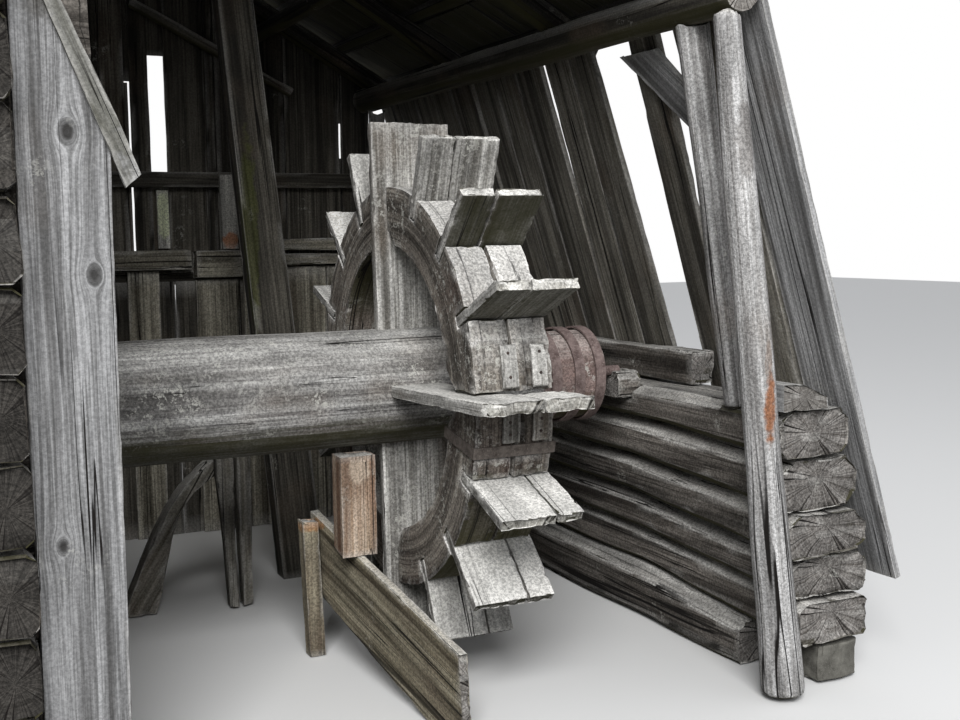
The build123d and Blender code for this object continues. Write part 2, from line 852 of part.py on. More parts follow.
with BuildPart() as roof_battens:
    eave_batten_x = RAFTER_EAVE_X - BATTEN_EAVE_INSET
    top_batten_x = -HALF_LENGTH + BATTEN_WIDTH
    for k in range(BATTEN_COUNT):
        x = eave_batten_x + k * (top_batten_x - eave_batten_x) / (BATTEN_COUNT - 1)
        roof_sheet(x - BATTEN_WIDTH / 2, x + BATTEN_WIDTH / 2, SEAT, BATTEN_THICK)
roof_battens.part.label = "roof_battens"

with BuildPart() as roof_covering:
    roof_sheet(-HALF_LENGTH, COVER_EAVE_X, BATTEN_THICK + SEAT, BATTEN_THICK + COVER_THICK)
roof_covering.part.label = "roof_covering"

# Leaning outer wall, its boards tangent to the plate pole
lean_plane = Plane(
    origin=(PLATE_X, 0, PLATE_Z),
    x_dir=(0, 1, 0),
    z_dir=(cos_d(BOARD_LEAN), 0, sin_d(BOARD_LEAN)),
).offset(PLATE_R + SEAT)


# Distance from the origin to the boards' inner faces, square to them
LEAN_REACH = PLATE_X * cos_d(BOARD_LEAN) + PLATE_Z * sin_d(BOARD_LEAN) + PLATE_R + SEAT


def lean_s(z):
    """Distance up the leaning plane to a given height."""
    return (z - lean_plane.origin.Z) / cos_d(BOARD_LEAN)


def lean_x(z):
    """X of the boards' inner faces at a given height."""
    return (LEAN_REACH - z * sin_d(BOARD_LEAN)) / cos_d(BOARD_LEAN)


def leaning_board(top_y, top_width, foot_y, foot_width, top_z, foot_z):
    """One upright board of the leaning wall."""
    sawn(
        lean_plane,
        (
            (top_y, lean_s(top_z)),
            (top_y + top_width, lean_s(top_z)),
            (foot_y + foot_width, lean_s(foot_z)),
            (foot_y, lean_s(foot_z)),
        ),
        BOARD_THICK,
    )


with BuildPart() as leaning_boards:
    for k, (top_y, top_width, foot_y, foot_width) in enumerate(OUTER_BOARDS):
        leaning_board(top_y, top_width, foot_y, foot_width, BOARD_TOP_Z, BOARD_FOOT_Z - 12 * (k % 3))
    rafter_cuts()
leaning_boards.part.label = "leaning_boards"

# The front plank runs on down past the logs, its foot's outer arris at the end of the outline
rake_foot_x = HALF_LENGTH - BOARD_THICK * cos_d(BOARD_LEAN)
rake_foot_z = (LEAN_REACH - rake_foot_x * cos_d(BOARD_LEAN)) / sin_d(BOARD_LEAN)
with BuildPart() as raking_plank:
    leaning_board(RAKE_FRONT_Y, RAKE_WIDTH, RAKE_FRONT_Y, RAKE_WIDTH, BOARD_TOP_Z, rake_foot_z)
    rafter_cuts()
raking_plank.part.label = "raking_plank"

with BuildPart() as brace_board:
    sawn(
        lean_plane.offset(-SEAT),
        (
            (-1150, lean_s(2505)),
            (-890, lean_s(2505)),
            (-1400, lean_s(2050)),
            (-1400, lean_s(2230)),
        ),
        -26,
    )
    plate_pole_cut()
brace_board.part.label = "brace_board"

with BuildPart() as sill_beam:
    block(SILL_X, lean_x(SILL_TOP_Z) - SEAT, SILL_FRONT_Y, 620, SILL_FOOT_Z, SILL_TOP_Z)
sill_beam.part.label = "sill_beam"

with BuildPart() as round_post:
    standing_pole(
        (ROUND_POST_FOOT_X, ROUND_POST_Y, 0),
        (ROUND_POST_TOP_X, ROUND_POST_Y, POST_TOP_Z),
        ROUND_POST_FOOT_R,
        ROUND_POST_TOP_R,
    )
    plate_pole_cut()
round_post.part.label = "round_post"

with BuildPart() as split_post:
    round_pole(
        (SPLIT_POST_FOOT_X, SPLIT_POST_Y, POST_SEAT_Z),
        (SPLIT_POST_TOP_X, SPLIT_POST_Y, PLATE_Z),
        SPLIT_POST_FOOT_R,
        SPLIT_POST_TOP_R,
    )
    block(900, 1400, SPLIT_POST_Y - 100, SPLIT_POST_Y + 100, 900, POST_SEAT_Z + SEAT, mode=Mode.SUBTRACT)
    plate_pole_cut()
split_post.part.label = "split_post"

with BuildPart() as corner_board:
    sawn(
        Plane.XZ.offset(-CORNER_BOARD_Y),
        ((-1499, 0), (-1262, 0), (-1250, 2063), (-1499, 2645)),
        -CORNER_BOARD_THICK,
    )
corner_board.part.label = "corner_board"

with BuildPart() as verge_board:
    sawn(
        Plane.XZ.offset(-CORNER_BOARD_Y + SEAT),
        ((-1220, 1898), (-1172, 1939), (-1249, 2139), (-1480, 2660), (-1480, 2560)),
        VERGE_BOARD_THICK,
    )
verge_board.part.label = "verge_board"

# Rear wall: boards, an upper rail and the squared timbers below it
rail_x0 = WALL_OUTER_X + CORNER_LOG_REACH + SEAT
with BuildPart() as rear_boards:
    for x0, x1, foot_z in REAR_BOARDS:
        sawn(
            Plane.XZ.offset(-REAR_Y),
            (
                (x0, foot_z),
                (x1, foot_z),
                (x1, rafter_top_z(x1) - 4),
                (x0, rafter_top_z(x0) - 4),
            ),
            -REAR_BOARD_THICK,
        )
rear_boards.part.label = "rear_boards"

with BuildPart() as rear_rail:
    block(rail_x0, 940, REAR_Y - RAIL_THICK, REAR_Y - SEAT, RAIL_Z, RAIL_Z + RAIL_HEIGHT)
rear_rail.part.label = "rear_rail"

with BuildPart() as rear_timbers:
    for x0, x1, z0, z1 in REAR_TIMBERS:
        block(x0, x1, REAR_Y - TIMBER_THICK, REAR_Y - SEAT, z0, z1)
rear_timbers.part.label = "rear_timbers"

with BuildPart() as rear_lower_boards:
    for x0, x1, top_z in REAR_LOWER_BOARDS:
        block(x0, x1, REAR_LOWER_Y, REAR_LOWER_Y + REAR_BOARD_THICK, 0, top_z - SEAT)
rear_lower_boards.part.label = "rear_lower_boards"

with BuildPart() as rear_slabs:
    for x0, x1, top_z, seat_z, y in REAR_SLABS:
        block(x0, x1, y, y + REAR_SLAB_THICK, seat_z + SEAT, top_z)
rear_slabs.part.label = "rear_slabs"

with BuildPart() as rear_strut:
    strut_y = REAR_Y - REAR_STRUT_R - SEAT
    round_pole(
        (REAR_STRUT_START[0], strut_y, REAR_STRUT_START[1]),
        (REAR_STRUT_END[0], strut_y, REAR_STRUT_END[1]),
        REAR_STRUT_R,
        REAR_STRUT_R,
    )
rear_strut.part.label = "rear_strut"

with BuildPart() as rear_post:
    standing_pole(
        (REAR_POST_FOOT_X, REAR_POST_Y, 0),
        (REAR_POST_TOP_X, REAR_POST_Y, POST_TOP_Z),
        REAR_POST_FOOT_R,
        REAR_POST_TOP_R,
    )
    plate_pole_cut()
rear_post.part.label = "rear_post"

# Posts and props inside
with BuildPart() as leaning_post:
    board_between(
        (42, LEANING_POST_Y, -FOOT_CUT),
        (-268, LEANING_POST_Y, 3330),
        (1, 0, 0),
        (232, 168),
        LEANING_POST_THICK,
    )
    block(-1000, 1000, 500, 900, -200, 0, mode=Mode.SUBTRACT)
    rafter_cuts()
leaning_post.part.label = "leaning_post"

with BuildPart() as hanging_posts:
    for points in (
        ((-450, 0), (-404, 0), (-410, 1200), (-512, 1200), (-500, 640)),
        ((-398, 0), (-326, 0), (-328, 1170), (-404, 1170)),
    ):
        sawn(Plane.XZ.offset(-HANGING_POST_Y), points, -HANGING_POST_THICK)
hanging_posts.part.label = "hanging_posts"

with BuildPart() as knee_brace:
    with BuildSketch(Plane.XZ.offset(-(HANGING_POST_Y + HANGING_POST_THICK + SEAT))):
        with BuildLine():
            Spline((-951, 0), (-854, 208), (-762, 405), (-666, 557), (-560, 668), (-400, 760))
            Line((-400, 760), (-400, 680))
            Spline((-400, 680), (-485, 620), (-598, 537), (-671, 417), (-725, 201), (-775, 0))
            Line((-775, 0), (-951, 0))
        make_face()
    extrude(amount=-KNEE_BRACE_THICK)
knee_brace.part.label = "knee_brace"

# The slanted plank on edge: its top corner runs from the rear end down to the front end
plank_rear = Vector(-262, -410, 601)
plank_front = Vector(-130, -1620, 321)
plank_run = plank_front - plank_rear
plank_plane = Plane(
    origin=plank_rear,
    x_dir=(plank_run.X, plank_run.Y, 0),
    z_dir=(plank_run.Y, -plank_run.X, 0),
)
plank_length = math.hypot(plank_run.X, plank_run.Y)


def plank_top_z(y):
    """Height of the slanted plank's top edge at a given y."""
    return plank_rear.Z + plank_run.Z * (y - plank_rear.Y) / plank_run.Y


with BuildPart() as slanted_plank:
    drop = plank_run.Z
    sawn(
        plank_plane,
        (
            (0, 0),
            (plank_length, drop),
            (plank_length + 30, -plank_rear.Z),
            (plank_length * 0.84, -plank_rear.Z),
            (0, -330),
        ),
        -PLANK_THICK,
    )
slanted_plank.part.label = "slanted_plank"

with BuildPart() as prop_block:
    sawn(
        Plane.YZ.offset(PROP_X),
        (
            (PROP_FRONT_Y, plank_top_z(PROP_FRONT_Y) + SEAT),
            (PROP_REAR_Y, plank_top_z(PROP_REAR_Y) + SEAT),
            (PROP_REAR_Y, PROP_TOP_Z),
            (PROP_FRONT_Y, PROP_TOP_Z),
        ),
        PROP_WIDTH,
    )
prop_block.part.label = "prop_block"

with BuildPart() as stake:
    sawn(Plane.XZ.offset(-STAKE_Y), ((-320, 0), (-248, 0), (-266, 582), (-340, 590)), -STAKE_THICK)
stake.part.label = "stake"

os.makedirs("parts", exist_ok=True)
for piece in (
    mill_wall_odd_logs,
    mill_wall_even_logs,
    corner_even_logs,
    corner_odd_logs,
    corner_board,
    inner_bearing_post,
    pier_odd_logs,
    pier_even_logs,
    pier_top_slab,
    base_stone,
    bearing_block,
    plate_pole,
    rafter_poles,
    roof_purlin,
    roof_battens,
    roof_covering,
    leaning_boards,
    raking_plank,
    brace_board,
    sill_beam,
    round_post,
    split_post,
    verge_board,
    rear_boards,
    rear_rail,
    rear_timbers,
    rear_lower_boards,
    rear_slabs,
    rear_strut,
    rear_post,
    leaning_post,
    hanging_posts,
    knee_brace,
    slanted_plank,
    prop_block,
    stake,
    axle_log,
    axle_hoops,
    outer_pin,
    inner_pin,
    level_arm,
    upright_arm,
    arm_end_boards,
    felloe_upper_front,
    felloe_upper_rear,
    felloe_lower_rear,
    felloe_lower_front,
    paddles_upper_front,
    paddles_upper_rear,
    paddles_lower_rear,
    paddles_lower_front,
    rim_splints,
    rim_strap,
):
    export_step(piece.part, f"parts/{piece.part.label}.step")
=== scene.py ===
"""The look of an old log watermill's wheel house: weathered timber, rusted iron and a studio.

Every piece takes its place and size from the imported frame, in metres. +X runs out along the
wheel's axle, away from the mill, +Y to the rear and +Z up.
"""

import json
import logging
import math
from collections.abc import Callable, Iterator, Sequence
from contextlib import contextmanager
from dataclasses import dataclass, field
from enum import Enum

import bpy
import numpy as np
from mathutils import Matrix, Vector, noise

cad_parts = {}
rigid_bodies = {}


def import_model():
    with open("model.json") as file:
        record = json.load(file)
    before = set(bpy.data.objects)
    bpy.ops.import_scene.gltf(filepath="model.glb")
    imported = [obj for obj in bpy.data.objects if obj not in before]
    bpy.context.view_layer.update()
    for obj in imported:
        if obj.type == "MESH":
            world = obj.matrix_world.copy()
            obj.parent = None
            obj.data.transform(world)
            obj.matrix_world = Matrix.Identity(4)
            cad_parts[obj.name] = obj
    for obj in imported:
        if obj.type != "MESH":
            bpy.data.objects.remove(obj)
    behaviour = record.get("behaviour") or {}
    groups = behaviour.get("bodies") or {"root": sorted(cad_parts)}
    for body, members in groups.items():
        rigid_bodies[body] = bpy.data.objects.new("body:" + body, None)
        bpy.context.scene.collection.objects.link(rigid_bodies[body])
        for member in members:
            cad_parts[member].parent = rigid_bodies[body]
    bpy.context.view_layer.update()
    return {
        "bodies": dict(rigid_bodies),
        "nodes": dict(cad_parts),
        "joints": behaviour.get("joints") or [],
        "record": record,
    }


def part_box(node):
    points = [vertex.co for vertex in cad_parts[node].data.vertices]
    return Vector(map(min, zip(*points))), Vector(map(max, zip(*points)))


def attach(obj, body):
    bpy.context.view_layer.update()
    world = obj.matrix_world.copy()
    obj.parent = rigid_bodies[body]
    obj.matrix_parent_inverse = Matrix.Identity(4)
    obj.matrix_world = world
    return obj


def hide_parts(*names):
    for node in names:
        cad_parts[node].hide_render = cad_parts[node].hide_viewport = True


LOG = logging.getLogger("wheel_house")

HUB = Vector((0.0, -0.7, 1.15))
WHEEL_TURN = math.radians(2.0)
ROOF_PITCH = math.radians(29.5)
WALL_LEAN = math.radians(17.7)
# The radius at which the grain round the rim is measured, in metres
RIM_RADIUS = 0.7

# Faces that meet at less than SMOOTH are shaded as one, and arrises over CORNER are rounded
SMOOTH = math.radians(38)
CORNER = math.radians(40)
# The least angles in degrees of an arris that chips and of one that is rubbed pale
CHIPPED = 22.0
RUBBED = 24.0
# The least share of a face's normal along the grain that makes it an end
END_FACING = 0.72

ALONG_X = Vector((1.0, 0.0, 0.0))
ALONG_Y = Vector((0.0, 1.0, 0.0))
ALONG_Z = Vector((0.0, 0.0, 1.0))
UP_THE_LEAN = Vector((-math.sin(WALL_LEAN), 0.0, math.cos(WALL_LEAN)))
DOWN_THE_ROOF = Vector((math.cos(ROOF_PITCH), 0.0, -math.sin(ROOF_PITCH)))


def linear(hex_colour: str) -> tuple[float, float, float, float]:
    """Turns an sRGB hex colour into the linear one that a shader takes.

    Args:
        hex_colour: Six hex digits, with or without a leading #.

    Returns:
        Red, green, blue and an alpha of 1.
    """
    digits = hex_colour.lstrip("#")
    parts = [int(digits[k : k + 2], 16) / 255 for k in (0, 2, 4)]
    red, green, blue = (
        part / 12.92 if part <= 0.04045 else ((part + 0.055) / 1.055) ** 2.4 for part in parts
    )
    return red, green, blue, 1.0


def scale_of(spot_mm: float) -> float:
    """Gives the noise scale, in waves a metre, whose spots are so many millimetres wide."""
    return 1000 / spot_mm / 2


def spoke(angle: float) -> Vector:
    """Gives the outward direction of a spoke.

    Args:
        angle: Degrees from the front, upwards.

    Returns:
        A unit vector in the wheel's plane.
    """
    turn = math.radians(angle) + WHEEL_TURN
    return Vector((0.0, -math.cos(turn), math.sin(turn)))


class NodeSheet:
    """The node tree of one finish, or of the world."""

    def __init__(self, owner: bpy.types.Material | bpy.types.World) -> None:
        """Empties the node tree of a new material or world.

        Args:
            owner: The material or world.
        """
        owner.use_nodes = True
        self.owner = owner
        self.tree = owner.node_tree
        self.tree.nodes.clear()

    def add(self, kind: str, inputs: dict[str | int, object], **settings: object) -> bpy.types.Node:
        """Adds a node with its settings, and fills or links its inputs.

        Args:
            kind: The node's type name, without the ShaderNode that it starts with.
            inputs: Input name or number to a value, a socket, or a node whose first output is used.
            settings: Properties of the node itself.

        Returns:
            The new node.
        """
        node = self.tree.nodes.new(f"ShaderNode{kind}")
        for name, value in settings.items():
            setattr(node, name, value)
        for key, value in inputs.items():
            if isinstance(key, int):
                socket = node.inputs[key]
            else:
                socket = next(s for s in node.inputs if s.enabled and s.name == key)
            if isinstance(value, bpy.types.Node):
                value = next(s for s in value.outputs if s.enabled)
            if isinstance(value, bpy.types.NodeSocket):
                self.tree.links.new(value, socket)
            else:
                socket.default_value = value
        return node

    def finish(self, **surface: object) -> bpy.types.Material:
        """Adds the surface shader and the output.

        Args:
            surface: Shader input name, with _ for a space, to a value, socket or node.

        Returns:
            The finished material.
        """
        inputs = {name.replace("_", " "): value for name, value in surface.items()}
        shader = self.add("BsdfPrincipled", inputs)
        self.add("OutputMaterial", {"Surface": shader})
        return self.owner


class WoodSheet(NodeSheet):
    """The node tree of a wood finish, which starts from what the bench writes on each piece.

    grain holds the distance along the trunk and across it from the heart, tone is one value a
    board, end and edge mark sawn ends and worn arrises, sky marks faces turned up, paler from
    bleaching and painted top light, and the last attribute marks faces turned down, darker from
    algae and painted shade. place is the grain shifted by board, and where is the place on the
    object.
    """

    def __init__(self, owner: bpy.types.Material) -> None:
        """Empties the node tree and adds the nodes that read the attributes.

        Args:
            owner: The new material.
        """
        super().__init__(owner)
        self.grain = self.add("Attribute", {}, attribute_name="grain").outputs["Vector"]
        self.tone, self.end, self.edge, self.sky, self.damp_and_shade = (
            self.add("Attribute", {}, attribute_name=name).outputs["Fac"]
            for name in ("tone", "end", "edge", "sky", "damp_and_shade")
        )
        self.where = self.add("TexCoord", {}).outputs["Object"]
        shift = self.add(
            "VectorMath", {0: (41.0, 13.0, 7.0), "Scale": self.tone}, operation="SCALE"
        )
        self.place = self.add("VectorMath", {0: self.grain, 1: shift}, operation="ADD")


@dataclass(frozen=True)
class Knot:
    """A knot in a board: its place along and across the board, and its half width, in metres."""

    along: float
    across: float
    reach: float


@dataclass(frozen=True)
class Patch:
    """A place on a timber in another colour, in metres: weathering, and on the corner board painted
    shade.
    """

    centre: tuple[float, float, float]
    reach: tuple[float, float, float]
    colour: str
    strength: float = 0.8


@dataclass(frozen=True)
class WeatheredWood:
    """Softwood left outdoors for decades: silver grey, with raised grain, checks and lichen."""

    name: str
    pale: str
    grey: str
    dark: str
    crack: str = "191614"
    lichen: str = "d9d8d0"
    # The green of algae, also laid as painted shade over faces turned down
    algae_and_shade_green: str = "45432a"
    # A pale colour for faces turned up, from bleaching and painted top light, and for rubbed
    # arrises
    bleach_and_top_light: str = "dddbd6"
    # How far faces turned up take that pale colour: partly bleaching, partly painted top light
    bleach_and_top_light_share: float = 0.5
    rub_share: float = 0.3
    # One raised line of late wood, in millimetres: real ones are 2 to 3 apart, drawn wider to show
    line_mm: float = 5.0
    streak_mm: float = 26.0
    check_mm: float = 62.0
    check_width: float = 0.016
    # Year rings on an end, in millimetres: real ones are 2 to 3 apart, drawn wider to show
    ring_mm: float = 8.0
    # Weathered fibres and dust, in millimetres: real ones are finer than a millimetre
    grit_mm: float = 5.0
    grit: float = 0.3
    # Brown stains, patches' edges, lichen crusts, their colonies and algae, in waves a metre
    stain_scale: float = 2.1
    ragged_scale: float = 22.0
    crust_scale: float = 34.0
    colony_scale: float = 4.5
    algae_scale: float = 7.0
    blotch: float = 0.22
    lichen_cover: float = 0.3
    moss_cover: float = 0.0
    # How strongly faces turned down take algae and painted shade
    underside_algae_and_shade: float = 0.9
    relief_mm: float = 3.5
    tone_spread: float = 0.12
    warm: str = "6f6255"
    warm_share: float = 0.08
    knots: tuple[Knot, ...] = ()
    patches: tuple[Patch, ...] = ()
    end_pale: str = "a5a19c"
    end_dark: str = "57524d"
    # From this far along the trunk it is dressed down to bare reddish staves, in metres
    staves_from: float | None = None
    stave: str = "8a7069"

    def make(self) -> bpy.types.Material:
        """Builds the finish.

        Returns:
            The material.
        """
        sheet = WoodSheet(bpy.data.materials.new(self.name))
        flow, knot = self._round_knots(sheet)
        lines = self._stretched(sheet, flow, self.line_mm, 0.02, detail=3.0, roughness=0.7)
        streaks = self._stretched(sheet, flow, self.streak_mm, 0.022, detail=2.0, roughness=0.5)
        cuts = self._checks(sheet)
        fine = scale_of(self.grit_mm)
        grit = sheet.add(
            "TexNoise", {"Vector": sheet.where, "Scale": fine, "Detail": 2.0, "Roughness": 0.8}
        )

        body = self._face(sheet, lines, streaks, knot)
        body = self._patched(sheet, body)
        body = self._end_grain(sheet, body)
        # Faces open to the sky are paler, partly bleached by sun and rain and partly painted top
        # light, and rubbed arrises are paler than their faces
        bleach_top_light_and_rub = sheet.add("Math", {0: sheet.sky, 1: self.bleach_and_top_light_share}, operation="MULTIPLY")
        rub = sheet.add("Math", {0: 1.0, 1: sheet.end}, operation="SUBTRACT")
        rub = sheet.add("Math", {0: rub, 1: sheet.edge}, operation="MULTIPLY")
        bleach_top_light_and_rub = sheet.add(
            "Math", {0: rub, 1: self.rub_share, 2: bleach_top_light_and_rub}, operation="MULTIPLY_ADD"
        )
        body = sheet.add(
            "Mix", {"Factor": bleach_top_light_and_rub, "A": body, "B": linear(self.bleach_and_top_light)}, data_type="RGBA"
        )
        body = self._mottled(sheet, body, grit)
        heart = sheet.add("Math", {0: knot, 1: 0.8}, operation="MULTIPLY")
        for cover, colour in (
            (heart, self.crack),
            (self._flecks(sheet, grit), self.lichen),
            (self._film(sheet), self.algae_and_shade_green),
            (cuts, self.crack),
        ):
            body = sheet.add(
                "Mix", {"Factor": cover, "A": body, "B": linear(colour)}, data_type="RGBA"
            )

        height = sheet.add("Math", {0: grit, 1: 0.7, 2: lines}, operation="MULTIPLY_ADD")
        height = sheet.add("Math", {0: cuts, 1: -2.4, 2: height}, operation="MULTIPLY_ADD")
        bump = sheet.add(
            "Bump", {"Height": height, "Strength": 0.9, "Distance": self.relief_mm / 1000}
        )
        dry = sheet.add("MapRange", {"Value": lines, "To Min": 0.95, "To Max": 0.78})
        # Dry fibres scatter light between them and reflect less than a dressed board
        return sheet.finish(Base_Color=body, Roughness=dry, Normal=bump, Specular_IOR_Level=0.2)

    def _stretched(
        self,
        sheet: WoodSheet,
        place: bpy.types.Node,
        width_mm: float,
        stretch: float,
        detail: float,
        roughness: float,
    ) -> bpy.types.Node:
        """Draws noise stretched along the grain.

        Args:
            sheet: The finish's node sheet.
            place: The grain coordinates.
            width_mm: The width of one streak across the grain.
            stretch: The streak's width over its length.
            detail: Octaves of finer streaks.
            roughness: How strong the finer streaks are.

        Returns:
            The noise node.
        """
        across = scale_of(width_mm)
        scaled = sheet.add(
            "Mapping", {"Vector": place, "Scale": (across * stretch, across, across)}
        )
        return sheet.add(
            "TexNoise", {"Vector": scaled, "Scale": 1.0, "Detail": detail, "Roughness": roughness}
        )

    def _face(
        self,
        sheet: WoodSheet,
        lines: bpy.types.Node,
        streaks: bpy.types.Node,
        knot: bpy.types.NodeSocket | float,
    ) -> bpy.types.Node:
        """Mixes the colour of the long faces.

        Args:
            sheet: The finish's node sheet.
            lines: The fine raised grain.
            streaks: The broad light and dark bands.
            knot: 1 in a knot and 0 elsewhere.

        Returns:
            The colour.
        """
        # Sun and rain leave the ridges pale and the early wood between them dark
        ridge = sheet.add("MapRange", {"Value": lines, "From Min": 0.38, "From Max": 0.6})
        body = sheet.add(
            "Mix",
            {"Factor": ridge, "A": linear(self.grey), "B": linear(self.pale)},
            data_type="RGBA",
        )
        hollow = sheet.add(
            "MapRange", {"Value": streaks, "From Min": 0.56, "From Max": 0.34, "To Max": 0.85}
        )
        hollow = sheet.add("Math", {0: hollow, 1: knot}, operation="MAXIMUM")
        body = sheet.add(
            "Mix", {"Factor": hollow, "A": body, "B": linear(self.dark)}, data_type="RGBA"
        )
        # Broad stains where the sheltered wood kept its brown
        stain = sheet.add(
            "TexNoise",
            {"Vector": sheet.place, "Scale": self.stain_scale, "Detail": 2.0, "Roughness": 0.6},
        )
        stain = sheet.add(
            "MapRange",
            {
                "Value": stain,
                "From Min": 0.62 - self.warm_share,
                "From Max": 0.86 - self.warm_share,
                "To Max": 0.7,
            },
        )
        return sheet.add(
            "Mix", {"Factor": stain, "A": body, "B": linear(self.warm)}, data_type="RGBA"
        )

    def _checks(self, sheet: WoodSheet) -> bpy.types.Node:
        """Draws drying checks: wide ones far apart and hairlines between, all with the grain.

        Args:
            sheet: The finish's node sheet.

        Returns:
            A node that is 1 in a check and 0 beside it and on the ends.
        """
        found = []
        for apart_mm, width in (
            (self.check_mm, self.check_width), (self.check_mm * 0.36, self.check_width * 0.9)
        ):
            wave = self._stretched(sheet, sheet.place, apart_mm, 0.013, detail=3.0, roughness=0.5)
            off = sheet.add("Math", {0: wave, 1: 0.5}, operation="SUBTRACT")
            off = sheet.add("Math", {0: off}, operation="ABSOLUTE")
            line = sheet.add(
                "MapRange",
                {"Value": off, "From Min": width, "From Max": width * 0.4, "To Max": 1.0},
            )
            run = self._stretched(
                sheet, sheet.place, apart_mm * 1.6, 0.1, detail=1.0, roughness=0.5
            )
            open_here = sheet.add("MapRange", {"Value": run, "From Min": 0.5, "From Max": 0.6})
            found.append(sheet.add("Math", {0: line, 1: open_here}, operation="MULTIPLY"))
        cuts = sheet.add("Math", {0: found[0], 1: found[1]}, operation="MAXIMUM")
        face = sheet.add("Math", {0: 1.0, 1: sheet.end}, operation="SUBTRACT")
        return sheet.add("Math", {0: cuts, 1: face}, operation="MULTIPLY")

    def _round_knots(self, sheet: WoodSheet) -> tuple[bpy.types.Node, bpy.types.Node | float]:
        """Leads the grain round each knot, as a stream round a stone, and rings the knot itself.

        Args:
            sheet: The finish's node sheet.

        Returns:
            The bent coordinates, and 1 in a knot's heart and 0 elsewhere.
        """
        place = sheet.place
        heart: bpy.types.Node | float = 0.0
        for knot in self.knots:
            length = knot.reach * 1.5
            centred = sheet.add(
                "Mapping",
                {
                    "Vector": sheet.grain,
                    "Location": (-knot.along / length, -knot.across / knot.reach, 0.0),
                    "Scale": (1 / length, 1 / knot.reach, 0.0),
                },
            )
            away = sheet.add("VectorMath", {0: centred}, operation="LENGTH")
            away = away.outputs["Value"]
            split = sheet.add("SeparateXYZ", {0: centred})
            far = sheet.add("Math", {0: away, 1: 1.0}, operation="MAXIMUM")
            weak = sheet.add("Math", {0: far, 1: -2.0}, operation="POWER")
            aside = sheet.add("Math", {0: split.outputs["Y"], 1: weak}, operation="MULTIPLY")
            ring = sheet.add("Math", {0: away, 1: 1.0}, operation="MINIMUM")
            aside = sheet.add("Math", {0: aside, 1: ring}, operation="ADD")
            aside = sheet.add("Math", {0: aside, 1: -knot.reach}, operation="MULTIPLY")
            move = sheet.add("CombineXYZ", {"Y": aside})
            place = sheet.add("VectorMath", {0: place, 1: move}, operation="ADD")
            core = sheet.add(
                "MapRange", {"Value": away, "From Min": 1.0, "From Max": 0.35, "To Max": 0.8}
            )
            heart = sheet.add("Math", {0: heart, 1: core}, operation="MAXIMUM")
        return place, heart

    def _patched(self, sheet: WoodSheet, body: bpy.types.Node) -> bpy.types.Node:
        """Lays the patches and the reddish staves over the faces.

        Args:
            sheet: The finish's node sheet.
            body: The colour so far.

        Returns:
            The colour with the patches laid over it.
        """
        rough = sheet.add(
            "TexNoise", {"Vector": sheet.where, "Scale": self.ragged_scale, "Detail": 4.0}
        )
        for patch in self.patches:
            centred = sheet.add(
                "Mapping",
                {
                    "Vector": sheet.where,
                    "Location": tuple(-c / r for c, r in zip(patch.centre, patch.reach)),
                    "Scale": tuple(1 / r for r in patch.reach),
                },
            )
            away = sheet.add("VectorMath", {0: centred}, operation="LENGTH")
            away = sheet.add(
                "Math", {0: rough, 1: 1.1, 2: away.outputs["Value"]}, operation="MULTIPLY_ADD"
            )
            cover = sheet.add(
                "MapRange",
                {"Value": away, "From Min": 1.6, "From Max": 1.3, "To Max": patch.strength},
            )
            body = sheet.add(
                "Mix", {"Factor": cover, "A": body, "B": linear(patch.colour)}, data_type="RGBA"
            )
        if self.staves_from is not None:
            along = sheet.add("SeparateXYZ", {0: sheet.grain}).outputs["X"]
            dressed = sheet.add(
                "MapRange",
                {
                    "Value": along,
                    "From Min": self.staves_from - 0.01,
                    "From Max": self.staves_from + 0.01,
                    "To Max": 0.8,
                },
            )
            body = sheet.add(
                "Mix", {"Factor": dressed, "A": body, "B": linear(self.stave)}, data_type="RGBA"
            )
        return body

    def _end_grain(self, sheet: WoodSheet, body: bpy.types.Node) -> bpy.types.Node:
        """Lays year rings, the marks of the axe and star checks over the ends.

        Args:
            sheet: The finish's node sheet.
            body: The colour of the faces.

        Returns:
            The colour with the ends laid over it.
        """
        cross = sheet.add("VectorMath", {0: sheet.grain, 1: (0, 1, 1)}, operation="MULTIPLY")
        away = sheet.add("VectorMath", {0: cross}, operation="LENGTH").outputs["Value"]
        wobble = sheet.add("TexNoise", {"Vector": cross, "Scale": 8.0, "Detail": 2.0})
        away = sheet.add("Math", {0: wobble, 1: 0.03, 2: away}, operation="MULTIPLY_ADD")
        out = sheet.add("Math", {0: away, 1: 1000 / self.ring_mm}, operation="MULTIPLY")
        out = sheet.add("CombineXYZ", {"X": out})
        ring = sheet.add("TexNoise", {"Vector": out, "Scale": 1.0, "Detail": 2.0})
        way = sheet.add("VectorMath", {0: cross}, operation="NORMALIZE")
        fan = sheet.add(
            "TexNoise", {"Vector": way, "Scale": 11.0, "Detail": 2.0, "Roughness": 0.65}
        )
        shade = sheet.add("Math", {0: ring, 1: 0.6, 2: fan}, operation="MULTIPLY_ADD")
        shade = sheet.add("MapRange", {"Value": shade, "From Min": 0.6, "From Max": 1.0})
        ends = sheet.add(
            "Mix",
            {"Factor": shade, "A": linear(self.end_dark), "B": linear(self.end_pale)},
            data_type="RGBA",
        )
        star = sheet.add("TexNoise", {"Vector": way, "Scale": 2.6, "Detail": 2.0, "Roughness": 0.6})
        star = sheet.add("Math", {0: star, 1: 0.5}, operation="SUBTRACT")
        star = sheet.add("Math", {0: star}, operation="ABSOLUTE")
        star = sheet.add("MapRange", {"Value": star, "From Min": 0.011, "From Max": 0.003})
        ends = sheet.add(
            "Mix", {"Factor": star, "A": ends, "B": linear(self.crack)}, data_type="RGBA"
        )
        return sheet.add("Mix", {"Factor": sheet.end, "A": body, "B": ends}, data_type="RGBA")

